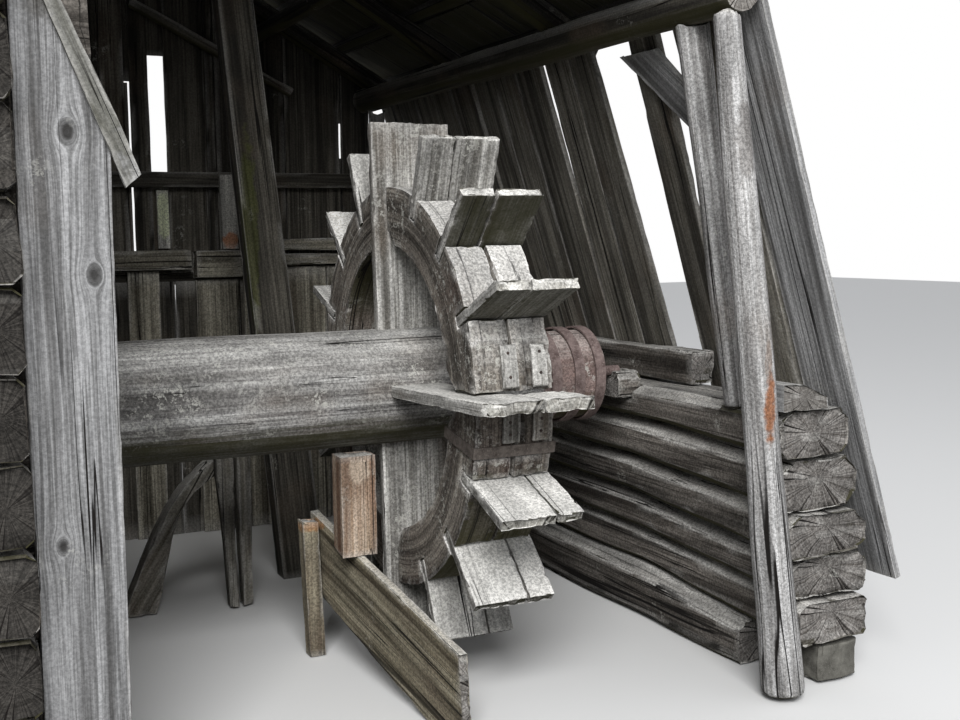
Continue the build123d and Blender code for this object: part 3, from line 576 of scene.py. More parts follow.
    def _mottled(
        self, sheet: WoodSheet, body: bpy.types.Node, grit: bpy.types.Node
    ) -> bpy.types.Node:
        """Lightens and darkens by grit, by broad blotches and by board.

        Args:
            sheet: The finish's node sheet.
            body: The colour so far.
            grit: The fine roughness of the fibres.

        Returns:
            The mottled colour.
        """
        wide = sheet.add("Mapping", {"Vector": sheet.place, "Scale": (3.0, 9.0, 9.0)})
        wide = sheet.add(
            "TexNoise", {"Vector": wide, "Scale": 1.0, "Detail": 3.0, "Roughness": 0.6}
        )
        level: bpy.types.Node | float = 1.0
        for value, low, high, spread in (
            (sheet.tone, 0.0, 1.0, self.tone_spread),
            (wide, 0.35, 0.65, self.blotch),
            (grit, 0.4, 0.6, self.grit),
        ):
            limits = {"From Min": low, "From Max": high, "To Min": 1 - spread, "To Max": 1 + spread}
            swing = sheet.add("MapRange", {"Value": value, **limits})
            level = sheet.add("Math", {0: level, 1: swing}, operation="MULTIPLY")
        return sheet.add("VectorMath", {0: body, "Scale": level}, operation="SCALE")

    def _flecks(self, sheet: WoodSheet, grit: bpy.types.Node) -> bpy.types.Node:
        """Scatters crusts of pale lichen, from a few millimetres to a few centimetres, in patches.

        Args:
            sheet: The finish's node sheet.
            grit: The fine roughness of the fibres.

        Returns:
            A node that is 1 on lichen and 0 on bare wood.
        """
        crust = sheet.add(
            "TexNoise",
            {"Vector": sheet.where, "Scale": self.crust_scale, "Detail": 3.0, "Roughness": 0.75},
        )
        crust = sheet.add("Math", {0: grit, 1: 0.35, 2: crust}, operation="MULTIPLY_ADD")
        crust = sheet.add("MapRange", {"Value": crust, "From Min": 0.72, "From Max": 0.8})
        colony = sheet.add(
            "TexNoise",
            {"Vector": sheet.where, "Scale": self.colony_scale, "Detail": 2.0, "Roughness": 0.6},
        )
        colony = sheet.add(
            "MapRange",
            {
                "Value": colony,
                "From Min": 0.66 - 0.4 * self.lichen_cover,
                "From Max": 0.84 - 0.4 * self.lichen_cover,
                "To Max": 0.7,
            },
        )
        return sheet.add("Math", {0: crust, 1: colony}, operation="MULTIPLY")

    def _film(self, sheet: WoodSheet) -> bpy.types.Node:
        """Spreads algae and painted shade over the faces turned down, and a thin film of algae over
        a share of the rest.

        Args:
            sheet: The finish's node sheet.

        Returns:
            A node that is 1 under algae and painted shade and 0 on bare wood.
        """
        film = sheet.add(
            "TexNoise",
            {"Vector": sheet.where, "Scale": self.algae_scale, "Detail": 3.0, "Roughness": 0.65},
        )
        film = sheet.add(
            "MapRange", {"Value": film, "From Min": 0.3, "From Max": 0.6, "To Min": 0.8}
        )
        algae_and_shade = sheet.add("Math", {0: sheet.damp_and_shade, 1: self.underside_algae_and_shade}, operation="MULTIPLY")
        algae_and_shade = sheet.add("Math", {0: algae_and_shade, 1: self.moss_cover}, operation="MAXIMUM")
        return sheet.add("Math", {0: film, 1: algae_and_shade}, operation="MULTIPLY")


@dataclass(frozen=True)
class OldIron:
    """Wrought iron with a dull, even coat of old rust, so a matt mauve brown with no shine."""

    name: str = "rusted wrought iron"
    face: str = "8a7975"
    deep: str = "5a4a47"
    bloom: str = "a4958f"
    # Flakes of rust in millimetres, and the pale dust on them in waves a metre
    flake_mm: float = 16.0
    dust_scale: float = 150.0

    def make(self) -> bpy.types.Material:
        """Builds the finish.

        Returns:
            The material.
        """
        sheet = NodeSheet(bpy.data.materials.new(self.name))
        where = sheet.add("TexCoord", {}).outputs["Object"]
        flakes = sheet.add(
            "TexNoise",
            {"Vector": where, "Scale": scale_of(self.flake_mm), "Detail": 6.0, "Roughness": 0.65},
        )
        shade = sheet.add("MapRange", {"Value": flakes, "From Min": 0.35, "From Max": 0.6})
        body = sheet.add(
            "Mix",
            {"Factor": shade, "A": linear(self.deep), "B": linear(self.face)},
            data_type="RGBA",
        )
        bloom = sheet.add("TexNoise", {"Vector": where, "Scale": self.dust_scale, "Detail": 3.0})
        bloom = sheet.add(
            "MapRange", {"Value": bloom, "From Min": 0.55, "From Max": 0.7, "To Max": 0.7}
        )
        body = sheet.add(
            "Mix", {"Factor": bloom, "A": body, "B": linear(self.bloom)}, data_type="RGBA"
        )
        bump = sheet.add("Bump", {"Height": flakes, "Strength": 0.7, "Distance": 0.0015})
        rough = sheet.add("MapRange", {"Value": flakes, "To Min": 0.92, "To Max": 0.7})
        return sheet.finish(Base_Color=body, Roughness=rough, Normal=bump)


@dataclass(frozen=True)
class FieldStone:
    """A rough grey stone from the stream, speckled and matt."""

    name: str = "grey field stone"
    light: str = "8b8981"
    shade: str = "55534d"
    speck: str = "a9a89f"
    # Clouds in the stone and its grains, in waves a metre: real grains are about twice as fine
    cloud_scale: float = 14.0
    grain_scale: float = 210.0

    def make(self) -> bpy.types.Material:
        """Builds the finish.

        Returns:
            The material.
        """
        sheet = NodeSheet(bpy.data.materials.new(self.name))
        where = sheet.add("TexCoord", {}).outputs["Object"]
        mass = sheet.add(
            "TexNoise",
            {"Vector": where, "Scale": self.cloud_scale, "Detail": 8.0, "Roughness": 0.7},
        )
        shade = sheet.add("MapRange", {"Value": mass, "From Min": 0.35, "From Max": 0.65})
        body = sheet.add(
            "Mix",
            {"Factor": shade, "A": linear(self.shade), "B": linear(self.light)},
            data_type="RGBA",
        )
        specks = sheet.add("TexVoronoi", {"Vector": where, "Scale": self.grain_scale})
        specks = sheet.add(
            "MapRange", {"Value": specks, "From Min": 0.3, "From Max": 0.15, "To Max": 0.5}
        )
        body = sheet.add(
            "Mix", {"Factor": specks, "A": body, "B": linear(self.speck)}, data_type="RGBA"
        )
        bump = sheet.add("Bump", {"Height": mass, "Strength": 0.9, "Distance": 0.006})
        return sheet.finish(Base_Color=body, Roughness=0.88, Normal=bump)


class Finish(Enum):
    """The finishes of the wheel house, each with the record's slot that it fills."""

    # Spruce hewn with the axe, never painted: a dark brown grey without shine; its ends are
    # drawn nearly black as painted shade
    MILL_LOGS = (
        "mill_logs",
        WeatheredWood(
            "old hewn spruce in the mill wall", pale="726d67", grey="4b4742", dark="2b2825",
            line_mm=7, check_mm=80, check_width=0.008, lichen_cover=0.1, bleach_and_top_light_share=0.25,
            rub_share=0.0, relief_mm=5.0, end_pale="4c4945", end_dark="211f1d",
        ),
    )
    # Larch hewn with the axe: pale crowns over dark ribbed flanks. The crowns are partly
    # bleached by rain and partly painted top light, and the flanks are drawn dark as painted
    # shade from the wheel
    HEWN_LOGS = (
        "hewn_logs",
        WeatheredWood(
            "old hewn larch logs", pale="8d8780", grey="56514c", dark="2b2825", line_mm=6,
            streak_mm=40, check_mm=64, check_width=0.014, lichen_cover=0.2, bleach_and_top_light_share=0.45,
            grit=0.35, relief_mm=6.0, end_pale="a5a19d", end_dark="55504b", warm="4a423b",
        ),
    )
    # Sawn spruce in full weather, untreated: an even silver grey with fine raised lines
    GREY_BOARDS = (
        "grey_boards",
        WeatheredWood(
            "silvered spruce boards", pale="c6c6c7", grey="929292", dark="605f5e", line_mm=4,
            streak_mm=18, check_mm=90, check_width=0.008, lichen_cover=0.1, grit=0.18, blotch=0.12,
            warm_share=0.0,
            # The verge board is damp and mossy
            patches=(Patch((-1.33, -1.86, 2.28), (0.26, 0.012, 0.6), "57564a", 0.75),),
        ),
    )
    # The same boards in full light: the grain runs in long arcs round three knots
    CORNER_BOARD = (
        "grey_boards",
        WeatheredWood(
            "silvered spruce corner board", pale="b9b9ba", grey="7f7f7f", dark="525150", line_mm=4,
            streak_mm=16, check_mm=120, check_width=0.006, lichen_cover=0.15, grit=0.16,
            blotch=0.12, warm_share=0.0,
            knots=(Knot(0.73, 0.013, 0.027), Knot(0.345, 0.066, 0.024), Knot(-0.4, -0.05, 0.02)),
            # The darker patch at the board's top is painted shade
            patches=(Patch((-1.37, -1.84, 2.6), (0.2, 0.1, 0.28), "62605c", 0.8),),
        ),
    )
    # Sawn spruce in half shade, untreated: duller and browner, each board of its own tone
    BARN_BOARDS = (
        "barn_boards",
        WeatheredWood(
            "sheltered spruce boards", pale="9d9990", grey="777368", dark="45423d", line_mm=6,
            check_mm=90, check_width=0.01, lichen_cover=0.05, tone_spread=0.25, grit=0.22,
        ),
    )
    # Sawn spruce inside, drawn dark as painted shade under the roof, so that the slits of
    # light stand out
    DIM_BOARDS = (
        "barn_boards",
        WeatheredWood(
            "spruce boards in painted shade", pale="6e6a61", grey="45423c", dark="282623", line_mm=6,
            check_mm=90, check_width=0.012, lichen_cover=0.05, tone_spread=0.35, grit=0.22,
            patches=(Patch((-0.2, 0.64, 1.7), (0.05, 0.06, 0.6), "55592f", 0.6),),
        ),
    )
    # Squared spruce near the water: algae give it a greenish grey dust over soft brown
    OLIVE_TIMBER = (
        "barn_boards",
        WeatheredWood(
            "algae-dusted spruce timber", pale="b5b0a0", grey="868174", dark="524e44", line_mm=6,
            check_mm=70, check_width=0.01, lichen_cover=0.1, tone_spread=0.15, grit=0.3,
            end_pale="bdb8a8",
        ),
    )
    # A debarked trunk, wet for years: smooth neutral grey, crusted, with red bare staves
    AXLE_WOOD = (
        "axle_wood",
        WeatheredWood(
            "debarked trunk of the axle", pale="bebdba", grey="868483", dark="504d4a", line_mm=6,
            streak_mm=40, check_mm=165, check_width=0.0012, lichen_cover=0.6, bleach_and_top_light_share=0.25,
            grit=0.34, blotch=0.34, relief_mm=3.5, tone_spread=0.0, staves_from=0.935,
        ),
    )
    # Riven planks, wet and dried in turn: paler on top from bleaching and painted top light,
    # and a dark olive below from algae and painted shade
    WHEEL_WOOD = (
        "wheel_wood",
        WeatheredWood(
            "silvered planks of the wheel", pale="c8c6c2", grey="8a8883", dark="55524d", line_mm=5,
            streak_mm=20, check_mm=95, check_width=0.004, bleach_and_top_light="eceae5", bleach_and_top_light_share=0.9,
            lichen_cover=0.5, grit=0.3, blotch=0.28, moss_cover=0.08, algae_and_shade_green="34331c",
            end_pale="c9c7c0", end_dark="85817a",
        ),
    )
    # Planks hewn to the rim's curve: a brown grey with pale crusts along the rim, drawn a
    # little darker as painted shade on the front faces
    FELLOE_WOOD = (
        "felloe_wood",
        WeatheredWood(
            "hewn felloes", pale="a19a90", grey="66605a", dark="3b3631", line_mm=5, streak_mm=24,
            check_mm=95, check_width=0.006, lichen_cover=0.55, bleach_and_top_light_share=0.85, bleach_and_top_light="e2e0dc",
            grit=0.36, warm="5d4a43", warm_share=0.12,
        ),
    )
    # Spruce poles peeled of their bark: pale and satiny, with one strip of fresh orange wood
    PEELED_POLES = (
        "peeled_poles",
        WeatheredWood(
            "peeled spruce poles", pale="d6d5d4", grey="a19f9d", dark="625f5d", line_mm=6,
            streak_mm=30, check_mm=85, check_width=0.008, lichen_cover=0.2, relief_mm=5.0,
            warm_share=0.0,
            patches=(
                Patch((1.012, -1.885, 1.12), (0.034, 0.034, 0.19), "a5673a", 0.85),
                Patch((1.0, -1.87, 1.3), (0.02, 0.05, 0.08), "86705f", 0.5),
                Patch((0.9, -1.87, 2.08), (0.06, 0.05, 0.16), "827e7b", 0.7),
            ),
        ),
    )
    # Split spruce: drawn nearly black as painted shade under the roof, and lighter grey on
    # top from weathering and painted top light
    ROOF_WOOD = (
        "roof_wood",
        WeatheredWood(
            "roof timber in painted shade", pale="3c3936", grey="262422", dark="161514", line_mm=7,
            lichen_cover=0.05, tone_spread=0.25, bleach_and_top_light="9a9892", bleach_and_top_light_share=0.6,
        ),
    )
    # Sawn spruce put in lately: a warm tan that has only begun to grey
    FRESH_WOOD = (
        "fresh_wood",
        WeatheredWood(
            "newer spruce block", pale="d8c6b3", grey="ac9680", dark="6b4d3b", warm="8a5f42",
            warm_share=0.2, line_mm=5, check_mm=110, check_width=0.004, lichen_cover=0.1,
            patches=(Patch((-0.2, -0.862, 0.84), (0.05, 0.03, 0.05), "e0cdb8", 0.7),),
        ),
    )
    # Slabs of the log without bark, drawn almost white as painted light falling on them
    WHITE_SLABS = (
        "grey_boards",
        WeatheredWood(
            "spruce slabs in painted light", pale="f0efe8", grey="c9c7c0", dark="8f8d88", line_mm=4,
            streak_mm=20, check_mm=80, check_width=0.004, warm_share=0.0,
            patches=(
                Patch((0.0, 1.8, 1.74), (0.05, 0.04, 0.06), "b5764c", 0.8),
                Patch((-0.37, 1.87, 1.9), (0.05, 0.04, 0.16), "e6efc6", 0.7),
            ),
        ),
    )
    # A sawn plank, long in the stream: yellowish brown, coarse and full of checks
    OLD_PLANK = (
        "barn_boards",
        WeatheredWood(
            "stream-worn plank", pale="bfb69f", grey="8a816d", dark="4a4235", line_mm=6,
            check_mm=70, check_width=0.016, lichen_cover=0.15, grit=0.32,
            patches=(Patch((-0.29, -0.5, 0.56), (0.06, 0.08, 0.03), "b98a5d", 0.8),),
        ),
    )
    # Wrought iron under old even rust: a matt mauve brown
    RUSTY_IRON = ("rusty_iron", OldIron())
    # Forged nails, blackened in wet wood: nearly black dots
    NAIL_IRON = (
        "rusty_iron", OldIron("blackened nail iron", face="40342f", deep="231c1a", bloom="54463f")
    )
    # Wrought iron that water runs over: its rust is washed to a grey brown
    STRAP_IRON = (
        "rusty_iron",
        OldIron("rain-washed strap iron", face="6d655f", deep="463e39", bloom="857c75"),
    )
    # A stone from the stream, broken and never dressed: mottled grey with light grains
    FIELD_STONE = ("field_stone", FieldStone())

    @property
    def slot(self) -> str:
        """The record's slot name."""
        return self.value[0]

    def material(self) -> bpy.types.Material:
        """Makes the material at its first use and gives the same one after."""
        made = bpy.data.materials.get(self.value[1].name)
        return made or self.value[1].make()


@dataclass(frozen=True)
class Wear:
    """How far years of weather have worn a timber, in metres."""

    arris: float = 0.005
    swell: float = 0.004
    ridge: float = 0.0015
    chip: float = 0.006
    ragged_end: float = 0.006
    wave_m: float = 0.9
    # Swells, ridges, chips, splinters in them and ragged ends across the grain, in waves a metre
    swell_scale: float = 5.0
    ridge_scale: float = 45.0
    ridge_along: float = 2.2
    chip_scale: float = 21.0
    splinter_scale: float = 60.0
    jag_scale: float = 38.0


@dataclass(frozen=True)
class Spacing:
    """How closely a timber is cut up before it is worn, in metres: along, wide and thick."""

    along: float = 0.06
    wide: float = 0.03
    thick: float = 0.05


# A spacing wider than any timber, so that it isn't cut that way
UNCUT = 9.0


@dataclass(frozen=True)
class Runs:
    """The way that the grain runs: one way for all, or out from or round the hub."""

    way: Vector | None = None
    radial: bool = False
    tangent: bool = False

    def of(self, points: np.ndarray, labels: np.ndarray) -> list[Vector]:
        """Gives the way of the grain in each solid.

        Args:
            points: The vertices.
            labels: The solid that each vertex belongs to.

        Returns:
            One unit vector for each solid.
        """
        if self.way is not None:
            return [self.way.normalized()] * (int(labels.max()) + 1)
        ways = []
        for label in range(int(labels.max()) + 1):
            middle = Vector(points[labels == label].mean(0)) - HUB
            middle.x = 0.0
            out = middle.normalized()
            ways.append(out if self.radial else ALONG_X.cross(out))
        return ways


class Bench:
    """The tools that shape and mark the timber."""

    def __init__(self, frame: dict, seed: int = 7) -> None:
        """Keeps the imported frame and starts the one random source."""
        self.nodes: dict[str, bpy.types.Object] = frame["nodes"]
        self.random = np.random.default_rng(seed)

    @contextmanager
    def editing(self, piece: bpy.types.Object) -> Iterator[None]:
        """Selects one piece alone and holds it in edit mode with all its mesh selected.

        Args:
            piece: The piece to edit.

        Yields:
            Nothing, while the piece is in edit mode.
        """
        self.pick(piece)
        bpy.ops.object.mode_set(mode="EDIT")
        bpy.ops.mesh.select_mode(type="VERT")
        bpy.ops.mesh.select_all(action="SELECT")
        yield
        bpy.ops.object.mode_set(mode="OBJECT")

    def pick(self, piece: bpy.types.Object) -> None:
        """Selects one piece alone and makes it the active one."""
        bpy.ops.object.select_all(action="DESELECT")
        piece.select_set(True)
        bpy.context.view_layer.objects.active = piece

    def copy_of(self, node: str, name: str) -> bpy.types.Object:
        """Copies a CAD node's solids as clean faces.

        Args:
            node: The CAD node.
            name: The new piece's name.

        Returns:
            The new piece, in the node's place.
        """
        piece = bpy.data.objects.new(name, self.nodes[node].data.copy())
        piece.data.name = name
        piece.data.materials.clear()
        bpy.context.scene.collection.objects.link(piece)
        with self.editing(piece):
            bpy.ops.mesh.remove_doubles(threshold=1e-5)
            bpy.ops.mesh.dissolve_limited(angle_limit=math.radians(0.6))
        return piece

    def apply(self, piece: bpy.types.Object, kind: str, **settings: object) -> None:
        """Adds a modifier and applies it.

        Args:
            piece: The piece to change.
            kind: The modifier's type.
            settings: The modifier's properties.
        """
        self.pick(piece)
        modifier = piece.modifiers.new(kind.lower(), kind)
        for name, value in settings.items():
            setattr(modifier, name, value)
        bpy.ops.object.modifier_apply(modifier=modifier.name)

    def ease(
        self, piece: bpy.types.Object, width: float, segments: int = 2, **limit: float
    ) -> None:
        """Rounds a piece's arrises.

        Args:
            piece: The piece to change.
            width: How wide the rounding is, in metres.
            segments: Faces across it.
            limit: angle_limit, the least angle of a rounded arris, where it isn't 30 degrees.
        """
        self.apply(piece, "BEVEL", width=width, segments=segments, limit_method="ANGLE", **limit)

    def shape(self, add: Callable[..., object], **settings: object) -> bpy.types.Object:
        """Adds a primitive and applies its place, turn and scale.

        Args:
            add: The operator that adds it.
            settings: The operator's settings.

        Returns:
            The new piece.
        """
        bpy.ops.object.select_all(action="DESELECT")
        add(**settings)
        bpy.ops.object.transform_apply(location=True, rotation=True, scale=True)
        return bpy.context.object

    def joined(self, parts: Sequence[bpy.types.Object], name: str) -> bpy.types.Object:
        """Joins parts into the first of them.

        Args:
            parts: The parts.
            name: The joined piece's name.

        Returns:
            The joined piece.
        """
        self.pick(parts[0])
        for part in parts[1:]:
            part.select_set(True)
        if len(parts) > 1:
            bpy.ops.object.join()
        parts[0].name = name
        return parts[0]

    def smooth(self, piece: bpy.types.Object, angle: float = SMOOTH) -> None:
        """Shades the faces that meet at less than an angle as one."""
        self.pick(piece)
        bpy.ops.object.shade_smooth_by_angle(angle=angle)

    def cut_across(
        self, piece: bpy.types.Object, normal: Vector, apart: float, jitter: float = 0.25
    ) -> None:
        """Cuts a piece's faces by parallel planes, without taking any of it away.

        Args:
            piece: The piece to cut.
            normal: The planes' normal.
            apart: The distance between two planes.
            jitter: How far a plane may stray, as a share of that distance.
        """
        reach = self.points(piece) @ np.array(normal)
        low, high = float(reach.min()), float(reach.max())
        count = int((high - low) / apart)
        with self.editing(piece):
            for k in range(1, count + 1):
                stray = (self.random.random() - 0.5) * jitter
                at = low + (k + stray) * (high - low) / (count + 1)
                bpy.ops.mesh.select_all(action="SELECT")
                bpy.ops.mesh.bisect(plane_co=normal * at, plane_no=normal)

    def cut_round(self, piece: bpy.types.Object, first: float, last: float, step: float) -> None:
        """Cuts a rim's faces by planes through the wheel's axis.

        Args:
            piece: The piece to cut.
            first: The first spoke's angle in degrees.
            last: The last spoke's angle in degrees.
            step: The angle between two cuts.
        """
        with self.editing(piece):
            for k in range(1, int((last - first) / step)):
                round_way = ALONG_X.cross(spoke(first + k * step))
                bpy.ops.mesh.select_all(action="SELECT")
                bpy.ops.mesh.bisect(plane_co=HUB, plane_no=round_way)

    def points(self, piece: bpy.types.Object) -> np.ndarray:
        """Reads a piece's vertices as an array of rows."""
        flat = np.zeros(len(piece.data.vertices) * 3)
        piece.data.vertices.foreach_get("co", flat)
        return flat.reshape(-1, 3)

    def solids(self, piece: bpy.types.Object) -> np.ndarray:
        """Numbers the separate solids of a piece.

        Args:
            piece: The piece.

        Returns:
            One label for each vertex, from 0 up.
        """
        mesh = piece.data
        pairs = np.zeros(len(mesh.edges) * 2, dtype=np.int64)
        mesh.edges.foreach_get("vertices", pairs)
        pairs = pairs.reshape(-1, 2)
        label = np.arange(len(mesh.vertices))
        while True:
            low = np.minimum(label[pairs[:, 0]], label[pairs[:, 1]])
            fresh = label.copy()
            np.minimum.at(fresh, pairs[:, 0], low)
            np.minimum.at(fresh, pairs[:, 1], low)
            fresh = fresh[fresh]
            if np.array_equal(fresh, label):
                break
            label = fresh
        return np.unique(label, return_inverse=True)[1]

    def sharp(self, piece: bpy.types.Object, angle: float) -> np.ndarray:
        """Finds the vertices that lie on an arris.

        Args:
            piece: The piece.
            angle: The least angle between two faces of an arris, in degrees.

        Returns:
            1 for a vertex on an arris and 0 elsewhere.
        """
        mesh = piece.data
        faces_of: dict[tuple[int, int], list[int]] = {}
        for polygon in mesh.polygons:
            for edge in polygon.edge_keys:
                faces_of.setdefault(edge, []).append(polygon.index)
        on = np.zeros(len(mesh.vertices))
        limit = math.cos(math.radians(angle))
        for (a, b), faces in faces_of.items():
            if len(faces) == 2:
                first, second = (mesh.polygons[k].normal for k in faces)
                if first.dot(second) < limit:
                    on[a] = on[b] = 1.0
        return on

    def wear(self, piece: bpy.types.Object, runs: Runs, wear: Wear) -> None:
        """Sinks a piece's surface as weather does: slow swells, raised grain and chipped arrises.

        Args:
            piece: The piece to wear.
            runs: The way of the grain in each solid.
            wear: How deep each kind of wear goes.
        """
        mesh = piece.data
        labels = self.solids(piece)
        points = self.points(piece)
        ways = runs.of(points, labels)
        arris = self.sharp(piece, CHIPPED)
        seeds = self.random.random(labels.max() + 1) * 50
        moved = points.copy()
        for vertex in mesh.vertices:
            k = vertex.index
            label = labels[k]
            way = ways[label]
            spot = vertex.co
            along = spot.dot(way)
            cross = spot - along * way
            seed = seeds[label]
            slow = noise.noise(
                cross * wear.swell_scale + way * (along / wear.wave_m) + ALONG_Z * seed
            )
            fast = noise.noise(
                cross * wear.ridge_scale + way * (along * wear.ridge_along) + ALONG_X * seed
            )
            sink = wear.swell * (0.5 + slow) + wear.ridge * (0.6 + fast)
            if arris[k] > 0:
                rough = noise.noise(spot * wear.chip_scale)
                rough += 0.6 * noise.noise(spot * wear.splinter_scale)
                sink += wear.chip * max(0.0, rough)
            normal = vertex.normal
            facing = abs(normal.dot(way))
            shift = normal * -max(0.0, sink)
            if facing > 0.5:
                jag = 0.5 + noise.noise(cross * wear.jag_scale + ALONG_Y * seed)
                side = 1.0 if normal.dot(way) > 0 else -1.0
                shift = shift - way * (side * wear.ragged_end * max(0.0, jag))
            moved[k] = np.array(spot + shift)
        mesh.vertices.foreach_set("co", moved.ravel())
        mesh.update()

    def mark(self, piece: bpy.types.Object, runs: Runs, heart: float = 0.0) -> None:
        """Writes the attributes that the finishes read.

        Args:
            piece: The piece to mark.
            runs: The way of the grain in each solid.
            heart: How far the trunk's heart lies out of a board's middle, in metres.
        """
        mesh = piece.data
        labels = self.solids(piece)
        points = self.points(piece)
        ways = runs.of(points, labels)
        grain = np.zeros_like(points)
        tone = np.zeros(len(points))
        for label in range(labels.max() + 1):
            own = labels == label
            way = np.array(ways[label])
            centre = (points[own].min(0) + points[own].max(0)) / 2
            rest = points[own] - centre
            along = rest @ way
            cross = rest - along[:, None] * way
            tone[own] = self.random.random()
            if runs.tangent:
                out = points[own] - np.array(HUB)
                radius = np.hypot(out[:, 1], out[:, 2])
                turn = np.arctan2(out[:, 2], -out[:, 1])
                grain[own] = np.stack([turn * RIM_RADIUS, out[:, 0], radius], axis=1)
                continue
            axes = np.linalg.eigh(cross.T @ cross)[1]
            wide = axes[:, 2]
            wide = wide * (1.0 if wide[int(np.argmax(np.abs(wide)))] > 0 else -1.0)
            thin = np.cross(way, wide)
            grain[own] = np.stack([along, cross @ wide, cross @ thin + heart], axis=1)
        for name, kind, key, values in (
            ("grain", "FLOAT_VECTOR", "vector", grain.ravel()),
            ("tone", "FLOAT", "value", tone),
            ("edge", "FLOAT", "value", self.sharp(piece, RUBBED)),
        ):
            mesh.attributes.new(name, kind, "POINT").data.foreach_set(key, values)
        end, sky, damp_and_shade = [], [], []
        for polygon in mesh.polygons:
            way = ways[labels[polygon.vertices[0]]]
            if runs.tangent:
                way = ALONG_X.cross(polygon.center - HUB).normalized()
            rise = polygon.normal.z
            end.append(1.0 if abs(polygon.normal.dot(way)) > END_FACING else 0.0)
            # A face is paler the flatter it lies: partly bleaching by rain and sun, partly painted
            # top light
            sky.append(min(1.0, max(0.0, (rise - 0.1) / 0.6)))
            # Faces that turn down darken with algae and painted shade, and dry marks those that
            # point straight down, which take only half as much
            dry = max(0.0, (-rise - 0.85) / 0.15)
            damp_and_shade.append(min(1.0, max(0.0, (-rise - 0.35) / 0.3)) * (1.0 - 0.5 * dry))
        for name, values in (("end", end), ("sky", sky), ("damp_and_shade", damp_and_shade)):
            mesh.attributes.new(name, "FLOAT", "FACE").data.foreach_set("value", values)

    def hand_over(
        self, piece: bpy.types.Object, body: str, finish: Finish, *nodes: str
    ) -> bpy.types.Object:
        """Gives a finished piece its material, its body and the nodes that it stands for.

        Args:
            piece: The finished piece.
            body: The CAD body that it rides on.
            finish: Its finish.
            nodes: The CAD nodes that it stands for.

        Returns:
            The piece.
        """
        piece.data.materials.clear()
        piece.data.materials.append(finish.material())
        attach(piece, body)
        if nodes:
            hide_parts(*nodes)
        return piece


@dataclass(frozen=True)
class Timber:
    """One CAD node that is carried over as worn timber."""

    node: str
    finish: Finish
    runs: Runs
    wide_way: Vector
    wear: Wear = Wear()
    spacing: Spacing = Spacing()
    heart: float = 0.0
    round_steps: int = 0

    def build(self, bench: Bench, body: str) -> bpy.types.Object:
        """Copies the node, cuts it up, wears it and marks its grain.

        Args:
            bench: The tools.
            body: The CAD body that it rides on.

        Returns:
            The finished piece.
        """
        piece = bench.copy_of(self.node, f"worn_{self.node}")
        way = (self.runs.way or ALONG_X).normalized()
        if self.wear.arris > 0:
            bench.ease(piece, self.wear.arris, angle_limit=CORNER)
        wide = (self.wide_way - self.wide_way.dot(way) * way).normalized()
        thick = way.cross(wide)
        if self.runs.way is not None:
            bench.cut_across(piece, way, self.spacing.along)
        if self.round_steps:
            bench.apply(piece, "SUBSURF", levels=self.round_steps, render_levels=self.round_steps)
        else:
            bench.cut_across(piece, wide, self.spacing.wide)
            bench.cut_across(piece, thick, self.spacing.thick)
        bench.wear(piece, self.runs, self.wear)
        bench.mark(piece, self.runs, self.heart)
        bench.smooth(piece)
        return bench.hand_over(piece, body, self.finish, self.node)


@dataclass
class SubAssembly:
    """A part of the wheel house that is built as one."""

    bench: Bench
    body: str = "house"
    timbers: tuple[Timber, ...] = ()

    def build(self) -> list[bpy.types.Object]:
        """Builds all its pieces.

        Returns:
            The finished pieces.
        """
        made = [timber.build(self.bench, self.body) for timber in self.timbers]
        made += self.extras()
        for piece in made:
            LOG.info("%s: %d faces", piece.name, len(piece.data.polygons))
        return made

    def extras(self) -> list[bpy.types.Object]:
        """Builds the pieces that are more than a worn node; none unless a kind has some."""
        return []

    def paint_node(self, node: str, finish: Finish) -> None:
        """Gives a CAD node that keeps its own shape a finish."""
        data = self.bench.nodes[node].data
        data.materials.clear()
        data.materials.append(finish.material())


